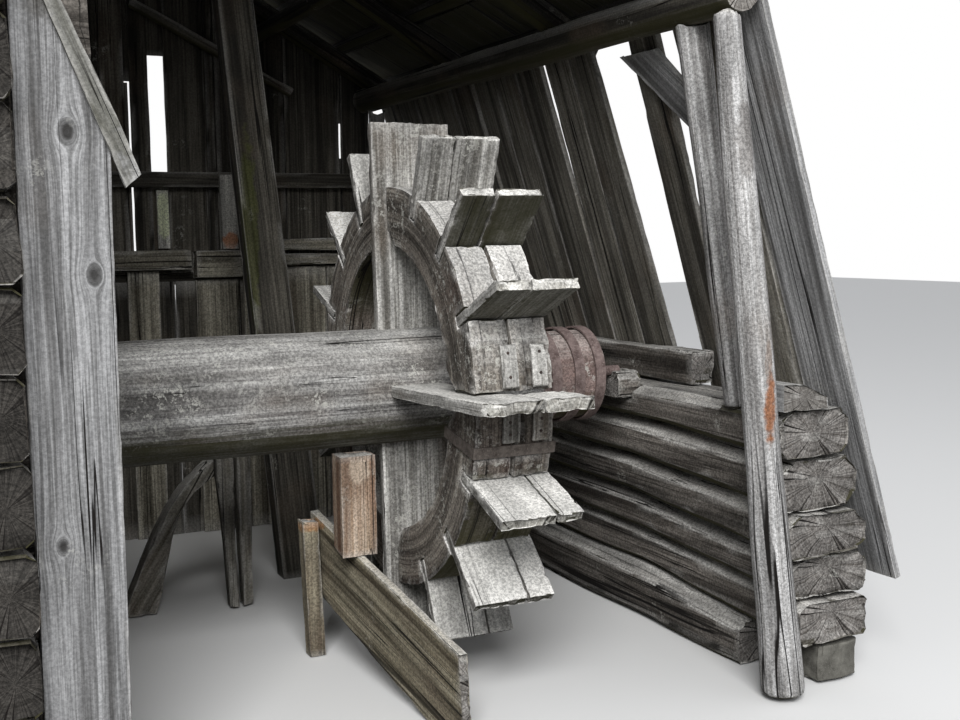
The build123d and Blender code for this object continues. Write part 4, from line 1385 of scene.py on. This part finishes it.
@dataclass
class Wheel(SubAssembly):
    """The paddle wheel: two through arms, felloes in four quarters, paddles, splints and strap."""

    body: str = "wheel"
    plank_wear: Wear = Wear(arris=0.005, swell=0.004, ridge=0.002, chip=0.012, ragged_end=0.01)
    plank_spacing: Spacing = Spacing(along=0.05, wide=0.018, thick=0.02)
    felloe_wear: Wear = Wear(arris=0.005, swell=0.004, ridge=0.0015, chip=0.01, ragged_end=0.004)
    paddle_spacing: Spacing = Spacing(along=0.024, wide=0.018, thick=0.024)
    # Where in X the two boards of a paddle meet
    paddle_joints: dict[str, float] = field(
        default_factory=lambda: {
            "paddles_upper_front": 0.14,
            "paddles_upper_rear": 0.2,
            "paddles_lower_rear": 0.12,
            "paddles_lower_front": 0.222,
        }
    )
    # How wide that joint is, and how far from it the arrises are sheltered
    joint_gap: float = 0.0015
    joint_shelter: float = 0.014
    # The angle in degrees between two cuts of the rim
    rim_step: float = 3.0
    rim_spacing: float = 0.03
    nail_head: float = 0.006
    # How far a nail's middle stands out and how far its head is rounded, as shares of the head
    nail_proud: float = 0.15
    nail_round: float = 0.3
    # Places in X and Z that the nails are driven at from the front
    nail_places: tuple[tuple[float, float], ...] = (
        (0.135, 1.345),
        (0.137, 1.26),
        (0.262, 1.345),
        (0.26, 1.27),
        (0.13, 1.1),
        (0.132, 1.055),
        (0.258, 1.105),
        (0.256, 1.06),
    )

    def extras(self) -> list[bpy.types.Object]:
        """Builds the arms, felloes, paddles and splints.

        Returns:
            The finished pieces.
        """
        made = []
        look = (ALONG_X, self.plank_wear, self.plank_spacing, 0.12)
        for node, angle in (("level_arm", 0.0), ("upright_arm", 90.0), ("arm_end_boards", 0.0)):
            arm = Timber(node, Finish.WHEEL_WOOD, Runs(spoke(angle)), *look)
            made.append(arm.build(self.bench, self.body))
        for k, quarter in enumerate(("upper_front", "upper_rear", "lower_rear", "lower_front")):
            made.append(self._felloe(f"felloe_{quarter}", 90.0 * k))
            made.append(self._paddles(f"paddles_{quarter}"))
        self.paint_node("rim_strap", Finish.STRAP_IRON)
        made.append(self._splints())
        made.append(self._nails(made[-1]))
        return made

    def _nails(self, splints: bpy.types.Object) -> bpy.types.Object:
        """Drives forged nails through the cleats over the rim's joints.

        Args:
            splints: The cleats.

        Returns:
            The finished piece.
        """
        bench = self.bench
        heads = []
        for x, z in self.nail_places:
            struck, spot, normal, _ = splints.ray_cast(Vector((x, -3.0, z)), ALONG_Y)
            if not struck:
                continue
            head = bench.shape(
                bpy.ops.mesh.primitive_cylinder_add,
                vertices=9,
                radius=self.nail_head,
                depth=self.nail_head,
                location=spot + normal * self.nail_head * self.nail_proud,
                rotation=normal.to_track_quat("Z", "Y").to_euler(),
            )
            heads.append(head)
        piece = bench.joined(heads, "cleat_nails")
        bench.ease(piece, self.nail_head * self.nail_round)
        return bench.hand_over(piece, self.body, Finish.NAIL_IRON)

    def _felloe(self, node: str, start: float) -> bpy.types.Object:
        """Wears one quarter of the rim.

        Args:
            node: The CAD node.
            start: The angle of its first spoke in degrees.

        Returns:
            The finished piece.
        """
        bench = self.bench
        piece = bench.copy_of(node, f"worn_{node}")
        bench.ease(piece, self.felloe_wear.arris, angle_limit=CORNER)
        bench.cut_round(piece, start, start + 90.0, self.rim_step)
        bench.cut_across(piece, spoke(start + 45.0), self.rim_spacing)
        bench.cut_across(piece, ALONG_X, self.rim_spacing)
        runs = Runs(tangent=True)
        bench.wear(piece, runs, self.felloe_wear)
        bench.mark(piece, runs)
        bench.smooth(piece)
        return bench.hand_over(piece, self.body, Finish.FELLOE_WOOD, node)

    def _paddles(self, node: str) -> bpy.types.Object:
        """Makes each paddle of a quarter from two boards side by side.

        Args:
            node: The CAD node.

        Returns:
            The finished piece.
        """
        bench = self.bench
        halves = []
        joint = self.paddle_joints[node]
        for k, side in enumerate((-1.0, 1.0)):
            half = bench.copy_of(node, f"worn_{node}" if k == 0 else f"{node}_far")
            with bench.editing(half):
                bpy.ops.mesh.bisect(
                    plane_co=(joint + side * self.joint_gap / 2, 0.0, 0.0),
                    plane_no=(side, 0.0, 0.0),
                    use_fill=True,
                    clear_inner=True,
                )
            halves.append(half)
        piece = bench.joined(halves, f"worn_{node}")
        bench.ease(piece, self.plank_wear.arris, angle_limit=CORNER)
        bench.cut_across(piece, ALONG_X, self.paddle_spacing.wide)
        bench.cut_across(piece, ALONG_Y, self.paddle_spacing.thick)
        bench.cut_across(piece, ALONG_Z, self.paddle_spacing.along)
        runs = Runs(radial=True)
        bench.wear(piece, runs, self.plank_wear)
        bench.mark(piece, runs, heart=0.1)
        # The arrises inside the joint are sheltered and stay as dark as their boards
        rubbed = piece.data.attributes["edge"].data
        for vertex, rub in zip(piece.data.vertices, rubbed):
            if abs(vertex.co.x - joint) < self.joint_shelter:
                rub.value = 0.0
        bench.smooth(piece)
        return bench.hand_over(piece, self.body, Finish.WHEEL_WOOD, node)

    def _splints(self) -> bpy.types.Object:
        """Wears the four cleats nailed over the rim's joints.

        Returns:
            The finished piece.
        """
        bench = self.bench
        piece = bench.copy_of("rim_splints", "worn_rim_splints")
        bench.ease(piece, 0.003)
        bench.cut_across(piece, ALONG_Z, 0.015)
        bench.cut_across(piece, ALONG_X, 0.014)
        runs = Runs(tangent=True)
        bench.wear(piece, runs, Wear(swell=0.002, ridge=0.001, chip=0.005))
        bench.mark(piece, runs)
        return bench.hand_over(piece, self.body, Finish.WHEEL_WOOD, "rim_splints")


@dataclass
class Axle(SubAssembly):
    """The trunk that carries the wheel, its iron hoops and its pins."""

    body: str = "wheel"
    sides: int = 112
    along: float = 0.03
    swell: float = 0.008
    groove: float = 0.003
    # Places along the axle and the trunk's radius there
    profile: tuple[tuple[float, float], ...] = (
        (-1.56, 0.2),
        (-1.38, 0.24),
        (0.455, 0.24),
        (0.51, 0.235),
        (0.6, 0.206),
        (0.65, 0.2),
        (0.93, 0.2),
    )
    full_radius: float = 0.24
    # The ends are trimmed back to this reach, and by this much, so that they are a little rounded
    end_reach: float = 0.02
    end_trim: float = 0.008

    def extras(self) -> list[bpy.types.Object]:
        """Builds the trunk and finishes the iron.

        Returns:
            The finished pieces.
        """
        for node in ("axle_hoops", "outer_pin", "inner_pin"):
            self.paint_node(node, Finish.RUSTY_IRON)
        return [self._trunk()]

    def _radius(self, x: float) -> float:
        """Gives the trunk's radius.

        Args:
            x: The place along the axle in metres.

        Returns:
            The radius in metres.
        """
        places, radii = zip(*self.profile)
        return float(np.interp(x, places, radii))

    def _trunk(self) -> bpy.types.Object:
        """Turns a cylinder into the debarked trunk, grooved and swollen as grown.

        Returns:
            The finished piece.
        """
        bench = self.bench
        low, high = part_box("axle_log")
        piece = bench.shape(
            bpy.ops.mesh.primitive_cylinder_add,
            vertices=self.sides,
            radius=self.full_radius,
            depth=high.x - low.x,
            end_fill_type="TRIFAN",
            location=((low.x + high.x) / 2, HUB.y, HUB.z),
            rotation=(0.0, math.pi / 2, 0.0),
        )
        piece.name = "worn_axle_log"
        bench.cut_across(piece, ALONG_X, self.along, jitter=0.0)
        points = bench.points(piece)
        for k, (x, y, z) in enumerate(points):
            away = Vector((0.0, y - HUB.y, z - HUB.z))
            if away.length < 0.05:
                continue
            out = away.normalized()
            slow = noise.noise(Vector((x * 1.3, out.y * 1.6, out.z * 1.6)))
            fine = noise.noise(Vector((x * 2.4, out.y * 11.0, out.z * 11.0)))
            radius = self._radius(x) - self.swell * (0.5 + slow) - self.groove * (0.5 + fine)
            radius = min(radius, self._radius(x) - 0.0005)
            if x > high.x - self.end_reach or x < low.x + self.end_reach:
                radius -= self.end_trim
            points[k] = (x, HUB.y + out.y * radius, HUB.z + out.z * radius)
        piece.data.vertices.foreach_set("co", points.ravel())
        piece.data.update()
        bench.mark(piece, Runs(ALONG_X))
        bench.smooth(piece, math.radians(45))
        return bench.hand_over(piece, self.body, Finish.AXLE_WOOD, "axle_log")


LOG_WEAR = Wear(arris=0.012, swell=0.012, ridge=0.003, chip=0.016, ragged_end=0.02, wave_m=0.5)
BOARD_WEAR = Wear(arris=0.003, swell=0.002, ridge=0.0012, chip=0.007, ragged_end=0.012)
POLE_WEAR = Wear(arris=0.0, swell=0.01, ridge=0.002, chip=0.0, ragged_end=0.008, wave_m=0.45)


@dataclass
class MillWall(SubAssembly):
    """The mill's wall of notched logs, with the cross logs' ends at both corners."""

    timbers: tuple[Timber, ...] = (
        *(
            Timber(
                f"mill_wall_{courses}_logs", Finish.MILL_LOGS, Runs(ALONG_Y), ALONG_Z, LOG_WEAR,
                Spacing(0.12, 0.09, 0.2),
            )
            for courses in ("odd", "even")
        ),
        *(
            Timber(
                f"corner_{courses}_logs", Finish.MILL_LOGS, Runs(ALONG_X), ALONG_Z, LOG_WEAR,
                Spacing(0.07, 0.05, 0.05),
            )
            for courses in ("odd", "even")
        ),
        Timber(
            "corner_board", Finish.CORNER_BOARD, Runs(ALONG_Z), ALONG_X,
            Wear(arris=0.004, swell=0.003, ridge=0.0015, chip=0.008, ragged_end=0.01),
            Spacing(0.05, 0.012, 0.02), heart=0.1,
        ),
        Timber(
            "verge_board", Finish.GREY_BOARDS, Runs(Vector((-0.38, 0.0, 0.925))), ALONG_X,
            Wear(arris=0.003, swell=0.003, ridge=0.002, chip=0.016, ragged_end=0.045),
            Spacing(0.04, 0.012, 0.02), heart=0.05,
        ),
        Timber(
            "inner_bearing_post", Finish.HEWN_LOGS, Runs(ALONG_Z), ALONG_Y, BOARD_WEAR,
            Spacing(0.1, 0.05, 0.05),
        ),
    )


@dataclass
class LowLogWall(SubAssembly):
    """The low wall of hewn logs that carries the axle's outer end."""

    timbers: tuple[Timber, ...] = (
        *(
            Timber(
                f"pier_{courses}_logs", Finish.HEWN_LOGS, Runs(ALONG_Y), ALONG_X, LOG_WEAR,
                Spacing(0.06, 0.04, 0.03),
            )
            for courses in ("odd", "even")
        ),
        Timber(
            "pier_top_slab", Finish.GREY_BOARDS, Runs(ALONG_Y), ALONG_X, BOARD_WEAR,
            Spacing(0.03, 0.02, 0.02),
        ),
        Timber(
            "bearing_block", Finish.HEWN_LOGS, Runs(ALONG_X), ALONG_Y, BOARD_WEAR,
            Spacing(0.03, 0.02, 0.02),
        ),
        Timber(
            "sill_beam", Finish.HEWN_LOGS, Runs(ALONG_Y), ALONG_X, LOG_WEAR,
            Spacing(0.06, 0.03, 0.03),
        ),
    )

    def extras(self) -> list[bpy.types.Object]:
        """Finishes the stone at the wall's foot.

        Returns:
            The finished pieces.
        """
        bench = self.bench
        stone = bench.copy_of("base_stone", "rough_base_stone")
        bench.ease(stone, 0.02, segments=3)
        for way in (ALONG_X, ALONG_Y, ALONG_Z):
            bench.cut_across(stone, way, 0.025)
        bench.wear(stone, Runs(ALONG_X), Wear(swell=0.012, ridge=0.004, chip=0.01))
        bench.smooth(stone, math.radians(30))
        return [bench.hand_over(stone, self.body, Finish.FIELD_STONE, "base_stone")]


@dataclass
class LeaningWall(SubAssembly):
    """The boards that lean out from the plate pole, and the posts at the front."""

    timbers: tuple[Timber, ...] = (
        Timber(
            "leaning_boards", Finish.BARN_BOARDS, Runs(UP_THE_LEAN), ALONG_Y, BOARD_WEAR,
            Spacing(0.08, 0.024, 0.05), heart=0.1,
        ),
        Timber(
            "raking_plank", Finish.GREY_BOARDS, Runs(UP_THE_LEAN), ALONG_Y, BOARD_WEAR,
            Spacing(0.06, 0.016, 0.02), heart=0.1,
        ),
        Timber(
            "brace_board", Finish.GREY_BOARDS, Runs(Vector((-0.21, 0.72, 0.66))), ALONG_Y,
            BOARD_WEAR, Spacing(0.05, 0.02, 0.02), heart=0.1,
        ),
        Timber(
            "plate_pole", Finish.DIM_BOARDS, Runs(ALONG_Y), ALONG_X, POLE_WEAR,
            Spacing(0.07, UNCUT, UNCUT),
        ),
        Timber(
            "round_post", Finish.PEELED_POLES, Runs(Vector((-0.301, 0.0, 2.54))), ALONG_Y,
            POLE_WEAR, Spacing(0.06, UNCUT, UNCUT), round_steps=2,
        ),
        Timber(
            "split_post", Finish.PEELED_POLES, Runs(Vector((-0.236, 0.0, 1.538))), ALONG_Y,
            POLE_WEAR, Spacing(0.06, UNCUT, UNCUT), round_steps=2,
        ),
    )


# A height above the roof, so that a strip with this top ends under it
TO_ROOF = 9.0


@dataclass
class RearWall(SubAssembly):
    """The upright boards, rail and squared timbers behind the wheel."""

    timbers: tuple[Timber, ...] = (
        Timber(
            "rear_boards", Finish.DIM_BOARDS, Runs(ALONG_Z), ALONG_X, BOARD_WEAR,
            Spacing(0.1, 0.035, 0.05), heart=0.1,
        ),
        Timber(
            "rear_rail", Finish.DIM_BOARDS, Runs(ALONG_X), ALONG_Z, BOARD_WEAR,
            Spacing(0.08, 0.03, 0.03),
        ),
        Timber(
            "rear_timbers", Finish.OLIVE_TIMBER, Runs(ALONG_X), ALONG_Z, LOG_WEAR,
            Spacing(0.06, 0.03, 0.03),
        ),
        Timber(
            "rear_lower_boards", Finish.OLIVE_TIMBER, Runs(ALONG_Z), ALONG_X, BOARD_WEAR,
            Spacing(0.1, 0.035, 0.05), heart=0.1,
        ),
        Timber(
            "rear_slabs", Finish.WHITE_SLABS, Runs(ALONG_Z), ALONG_X, BOARD_WEAR,
            Spacing(0.05, 0.015, 0.02), heart=0.05,
        ),
        Timber(
            "rear_strut", Finish.DIM_BOARDS, Runs(Vector((0.942, 0.0, -0.471))), ALONG_Y, POLE_WEAR,
            Spacing(0.08, UNCUT, UNCUT),
        ),
        Timber(
            "rear_post", Finish.PEELED_POLES, Runs(Vector((-0.059, 0.0, 2.54))), ALONG_Y, POLE_WEAR,
            Spacing(0.1, UNCUT, UNCUT), round_steps=1,
        ),
    )
    # Strips nailed over the joints from outside: left and right edge, foot and top, in metres
    upper_strips: tuple[tuple[float, float, float, float], ...] = (
        (-1.168, -1.118, 1.6, TO_ROOF),
        (-0.958, -0.902, 1.6, TO_ROOF),
        (-0.722, -0.672, 1.6, TO_ROOF),
        (-0.584, -0.534, 1.6, 2.66),
        (-0.584, -0.5, 2.664, TO_ROOF),
        (-0.446, -0.306, 2.816, TO_ROOF),
        (-0.446, -0.306, 1.58, 2.07),
        (-0.122, -0.022, 1.6, TO_ROOF),
        (0.116, 0.166, 1.6, TO_ROOF),
        (0.204, 0.25, 1.6, TO_ROOF),
        (0.356, 0.406, 1.6, TO_ROOF),
        (0.712, 0.758, 1.6, 2.25),
        (0.712, 0.758, 2.46, TO_ROOF),
    )
    lower_strips: tuple[tuple[float, float, float, float], ...] = (
        (-1.112, -1.018, 0.0, 1.515),
        (-0.884, -0.7305, 0.0, 1.515),
        (-0.73, -0.57, 0.0, 1.515),
        (-0.438, -0.3175, 0.0, 1.515),
        (-0.317, -0.19, 0.0, 1.515),
        (0.05, 0.098, 0.0, 1.515),
        (0.312, 0.354, 0.0, 1.515),
        (0.586, 0.62, 0.0, 1.515),
    )
    foot_board: tuple[float, float, float, float] = (-1.278, 0.9, 1.49, 1.655)
    upper_face: float = 1.9295
    lower_face: float = 1.8715
    strip_thick: float = 0.017
    roof_edge_x: float = -1.28
    roof_edge_z: float = 4.0

    def extras(self) -> list[bpy.types.Object]:
        """Nails strips over the joints of the boards, and a board over their feet.

        Returns:
            The finished pieces.
        """
        return [
            self._strips("rear_joint_strips", self.upper_strips, self.upper_face, ALONG_Z),
            self._strips("rear_lower_strips", self.lower_strips, self.lower_face, ALONG_Z),
            self._strips("rear_foot_board", (self.foot_board,), self.upper_face, ALONG_X),
        ]

    def _strips(
        self,
        name: str,
        places: Sequence[tuple[float, float, float, float]],
        face: float,
        way: Vector,
    ) -> bpy.types.Object:
        """Cuts thin boards to length against a face of the wall.

        Args:
            name: The piece's name.
            places: Left and right edge, foot and top of each board.
            face: The height in Y of the face that they lie on.
            way: The way of the grain.

        Returns:
            The finished piece.
        """
        bench = self.bench
        boards = []
        for x0, x1, z0, z1 in places:
            under_roof = self.roof_edge_z - (x1 - self.roof_edge_x) * math.tan(ROOF_PITCH)
            top = min(z1, under_roof)
            board = bench.shape(
                bpy.ops.mesh.primitive_cube_add,
                size=1.0,
                location=((x0 + x1) / 2, face + self.strip_thick / 2, (z0 + top) / 2),
                scale=(x1 - x0, self.strip_thick, top - z0),
            )
            boards.append(board)
        piece = bench.joined(boards, name)
        wear = Wear(arris=0.002, swell=0.001, ridge=0.001, chip=0.004, ragged_end=0.012)
        bench.ease(piece, wear.arris, segments=1)
        bench.cut_across(piece, way, 0.12)
        bench.cut_across(piece, way.cross(ALONG_Y), 0.02)
        runs = Runs(way)
        bench.wear(piece, runs, wear)
        bench.mark(piece, runs, heart=0.06)
        bench.smooth(piece)
        return bench.hand_over(piece, self.body, Finish.DIM_BOARDS)


@dataclass
class Roof(SubAssembly):
    """The lean-to roof: rafters, purlin, battens and the old covering."""

    timbers: tuple[Timber, ...] = (
        Timber(
            "rafter_poles", Finish.ROOF_WOOD, Runs(DOWN_THE_ROOF), ALONG_Y, POLE_WEAR,
            Spacing(0.08, UNCUT, UNCUT),
        ),
        Timber(
            "roof_purlin", Finish.ROOF_WOOD, Runs(ALONG_Y), ALONG_X, POLE_WEAR,
            Spacing(0.08, UNCUT, UNCUT),
        ),
        Timber(
            "roof_battens", Finish.ROOF_WOOD, Runs(ALONG_Y), DOWN_THE_ROOF, BOARD_WEAR,
            Spacing(0.15, 0.03, 0.03),
        ),
    )

    # Split shingles in metres, each laid over more than half of the one below it
    ridge: tuple[float, float] = (-1.72, 4.269)
    half_length: float = 2.14
    shingle_length: float = 0.95
    course: float = 0.42
    butt_at: float = 3.39
    widths: tuple[float, float] = (0.11, 0.2)
    joint: float = 0.004
    head_thick: float = 0.005
    butt_thick: float = 0.012
    head_low: float = 0.033
    butt_low: float = 0.059
    # How far butts are frayed, how far a shingle is cupped and how far it lies off the one below
    fray: float = 0.012
    cup: float = 0.0035
    lift: float = 0.002
    # How far heads reach over the ridge, and how near they come to the mill's wall
    over_ridge: float = 0.03
    wall_gap: float = 0.0005

    def extras(self) -> list[bpy.types.Object]:
        """Lays the shingles.

        Returns:
            The finished pieces.
        """
        pattern = self._shingle()
        points = self.bench.points(pattern)
        faces = [tuple(polygon.vertices) for polygon in pattern.data.polygons]
        bpy.data.objects.remove(pattern)
        laid: list[np.ndarray] = []
        courses = int((self.butt_at - 0.1) / self.course) + 1
        for k in range(courses):
            butt = self.butt_at - k * self.course
            laid += self._course(points, butt, ragged=0.03 if k == 0 else 0.012)
        laid += self._course(points, self.butt_at - 0.02, ragged=0.02, length=0.5)
        every = np.concatenate(laid)
        mesh = bpy.data.meshes.new("laid_shingles")
        count = len(points)
        shifted = [tuple(v + n * count for v in face) for n in range(len(laid)) for face in faces]
        mesh.from_pydata([tuple(p) for p in every], [], shifted)
        mesh.update()
        piece = bpy.data.objects.new("laid_shingles", mesh)
        bpy.context.scene.collection.objects.link(piece)
        with self.bench.editing(piece):
            bpy.ops.mesh.normals_make_consistent(inside=False)
        # The heart lies this far under the shingles, so that their ends show slanting rings
        self.bench.mark(piece, Runs(DOWN_THE_ROOF), heart=0.05)
        self.bench.smooth(piece, math.radians(30))
        return [self.bench.hand_over(piece, self.body, Finish.ROOF_WOOD, "roof_covering")]

    def _shingle(self) -> bpy.types.Object:
        """Makes the pattern of one shingle: a unit board cut into faces, thinned and frayed as
        laid.

        Returns:
            The pattern, one unit long, wide and thick.
        """
        bench = self.bench
        piece = bench.shape(bpy.ops.mesh.primitive_cube_add, size=1.0, location=(0.5, 0.0, 0.5))
        bench.cut_across(piece, ALONG_X, 0.2, jitter=0.0)
        bench.cut_across(piece, ALONG_Y, 0.25, jitter=0.0)
        return piece

    def _course(
        self, points: np.ndarray, butt: float, ragged: float, length: float | None = None
    ) -> list[np.ndarray]:
        """Lays one course from the front to the rear.

        Args:
            points: The pattern's vertices.
            butt: How far down the slope the course's butts lie.
            ragged: How far a butt may stray.
            length: The shingles' length, where it isn't the usual one.

        Returns:
            The vertices of each shingle laid.
        """
        random = self.bench.random
        laid = []
        y = -self.half_length
        while y < self.half_length - 0.05:
            width = float(random.uniform(*self.widths))
            if self.half_length - (y + width) < self.widths[0] * 0.6:
                width = self.half_length - y
            low = butt - (length or self.shingle_length)
            high = butt - float(random.random()) * ragged
            shape = points.copy()
            share = shape[:, 0].copy()
            thick = self.head_thick + (self.butt_thick - self.head_thick) * share
            base = self.head_low + (self.butt_low - self.head_low) * share
            fray = (share > 0.99) * random.random(len(share)) * self.fray
            along = np.maximum(-self.over_ridge, low + (high - low) * share - fray)
            across = y + width / 2 + shape[:, 1] * (width - self.joint)
            cup = self.cup * (1 - np.cos(shape[:, 1] * math.pi)) * share
            over = base + shape[:, 2] * thick - cup + self.lift
            x = self.ridge[0] + along * math.cos(ROOF_PITCH) + over * math.sin(ROOF_PITCH)
            x = np.maximum(x, self.ridge[0] + self.wall_gap)
            z = self.ridge[1] - along * math.sin(ROOF_PITCH) + over * math.cos(ROOF_PITCH)
            laid.append(np.stack([x, across, z], axis=1))
            y += width
        return laid


@dataclass
class Props(SubAssembly):
    """The posts, brace, plank and block that prop things up inside."""

    timbers: tuple[Timber, ...] = (
        Timber(
            "leaning_post", Finish.DIM_BOARDS, Runs(Vector((-0.31, 0.0, 3.37))), ALONG_X,
            BOARD_WEAR, Spacing(0.06, 0.025, 0.025), heart=0.08,
        ),
        Timber(
            "hanging_posts", Finish.BARN_BOARDS, Runs(ALONG_Z), ALONG_X, LOG_WEAR,
            Spacing(0.05, 0.02, 0.02),
        ),
        Timber(
            "knee_brace", Finish.BARN_BOARDS, Runs(Vector((0.55, 0.0, 0.84))), ALONG_Y, LOG_WEAR,
            Spacing(0.05, 0.025, 0.025),
        ),
        Timber(
            "slanted_plank", Finish.OLD_PLANK, Runs(Vector((0.132, -1.21, -0.28))), ALONG_Z,
            BOARD_WEAR, Spacing(0.05, 0.018, 0.02), heart=0.08,
        ),
        Timber(
            "prop_block", Finish.FRESH_WOOD, Runs(ALONG_Z), ALONG_X, BOARD_WEAR,
            Spacing(0.03, 0.014, 0.016),
        ),
        Timber(
            "stake", Finish.OLD_PLANK, Runs(ALONG_Z), ALONG_X, BOARD_WEAR,
            Spacing(0.04, 0.015, 0.015),
        ),
    )


@dataclass
class Studio:
    """A pale floor, soft light and the camera."""

    floor_size: float = 60.0
    camera_place: tuple[float, float, float] = (-1.804, -5.261, 1.763)
    yaw: float = 25.95
    pitch: float = -5.96
    roll: float = -0.74
    lens_mm: float = 45.0
    sensor_mm: float = 36.0
    # The floor as the camera sees it, and as it throws light back at the mill
    floor_seen: str = "f8f8f7"
    floor_thrown: str = "525250"
    sky_colour: str = "f4f6fa"
    sky_strength: float = 0.5
    key_watts: float = 1500.0
    key_size: float = 6.0
    key_place: tuple[float, float, float] = (-4.0, -10.5, 8.8)
    key_target: tuple[float, float, float] = (0.0, -0.6, 1.2)

    def build(self) -> None:
        """Sets up the floor, the light and the camera."""
        self._floor()
        self._sky()
        self._lamp()
        self._camera()
        bpy.context.scene.view_settings.view_transform = "Standard"

    def _floor(self) -> None:
        """Lays the plain pale floor."""
        bpy.ops.object.select_all(action="DESELECT")
        bpy.ops.mesh.primitive_plane_add(size=self.floor_size)
        floor = bpy.context.object
        floor.name = "studio_floor"
        sheet = NodeSheet(bpy.data.materials.new("pale floor"))
        body = sheet.add(
            "Mix",
            {
                "Factor": self._seen(sheet),
                "A": linear(self.floor_thrown),
                "B": linear(self.floor_seen),
            },
            data_type="RGBA",
        )
        floor.data.materials.append(sheet.finish(Base_Color=body, Roughness=0.95))

    def _sky(self) -> None:
        """Lights the world evenly, and shows it white to the camera and in reflections."""
        world = bpy.data.worlds.new("soft studio")
        bpy.context.scene.world = world
        sheet = NodeSheet(world)
        light = sheet.add(
            "Background", {"Color": linear(self.sky_colour), "Strength": self.sky_strength}
        )
        white = sheet.add("Background", {"Color": (1.0, 1.0, 1.0, 1.0)})
        mix = sheet.add("MixShader", {0: self._seen(sheet), 1: light, 2: white})
        sheet.add("OutputWorld", {"Surface": mix})

    def _seen(self, sheet: NodeSheet) -> bpy.types.Node:
        """Finds the rays that end at the camera, straight, by reflection or through glass.

        Args:
            sheet: The node sheet of the floor or the world.

        Returns:
            A node that is 1 for those rays, and 0 for light that falls on the mill.
        """
        path = sheet.add("LightPath", {}).outputs
        seen = path["Is Camera Ray"]
        for ray in ("Is Glossy Ray", "Is Transmission Ray"):
            seen = sheet.add("Math", {0: seen, 1: path[ray]}, operation="MAXIMUM")
        return seen

    def _lamp(self) -> None:
        """Hangs one broad soft lamp high at the front."""
        data = bpy.data.lights.new("broad key", "AREA")
        data.energy = self.key_watts
        data.size = self.key_size
        lamp = bpy.data.objects.new("broad_key", data)
        bpy.context.scene.collection.objects.link(lamp)
        lamp.location = self.key_place
        aim = Vector(self.key_target) - Vector(self.key_place)
        lamp.rotation_mode = "QUATERNION"
        lamp.rotation_quaternion = aim.to_track_quat("-Z", "Y")

    def _camera(self) -> None:
        """Sets the camera at the photograph's view."""
        data = bpy.data.cameras.new("view")
        data.lens = self.lens_mm
        data.sensor_width = self.sensor_mm
        data.clip_start = 0.05
        data.clip_end = 200.0
        camera = bpy.data.objects.new("view", data)
        bpy.context.scene.collection.objects.link(camera)
        yaw, pitch, roll = (math.radians(v) for v in (self.yaw, self.pitch, self.roll))
        ahead = Vector(
            (math.sin(yaw) * math.cos(pitch), math.cos(yaw) * math.cos(pitch), math.sin(pitch))
        )
        level = Vector((math.cos(yaw), -math.sin(yaw), 0.0))
        above = level.cross(ahead)
        right = level * math.cos(roll) + above * math.sin(roll)
        up = above * math.cos(roll) - level * math.sin(roll)
        turn = Matrix((right, up, -ahead)).transposed()
        camera.matrix_world = Matrix.Translation(self.camera_place) @ turn.to_4x4()
        bpy.context.scene.camera = camera


def main() -> None:
    """Loads the frame and builds the wheel house and its studio."""
    logging.basicConfig(level=logging.INFO, format="%(name)s: %(message)s")
    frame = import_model()
    bench = Bench(frame)
    for kind in (Wheel, Axle, MillWall, LowLogWall, LeaningWall, RearWall, Roof, Props):
        part = kind(bench)
        LOG.info("%s: %d pieces", kind.__name__, len(part.build()))
    Studio().build()


if __name__ == "__main__":
    main()
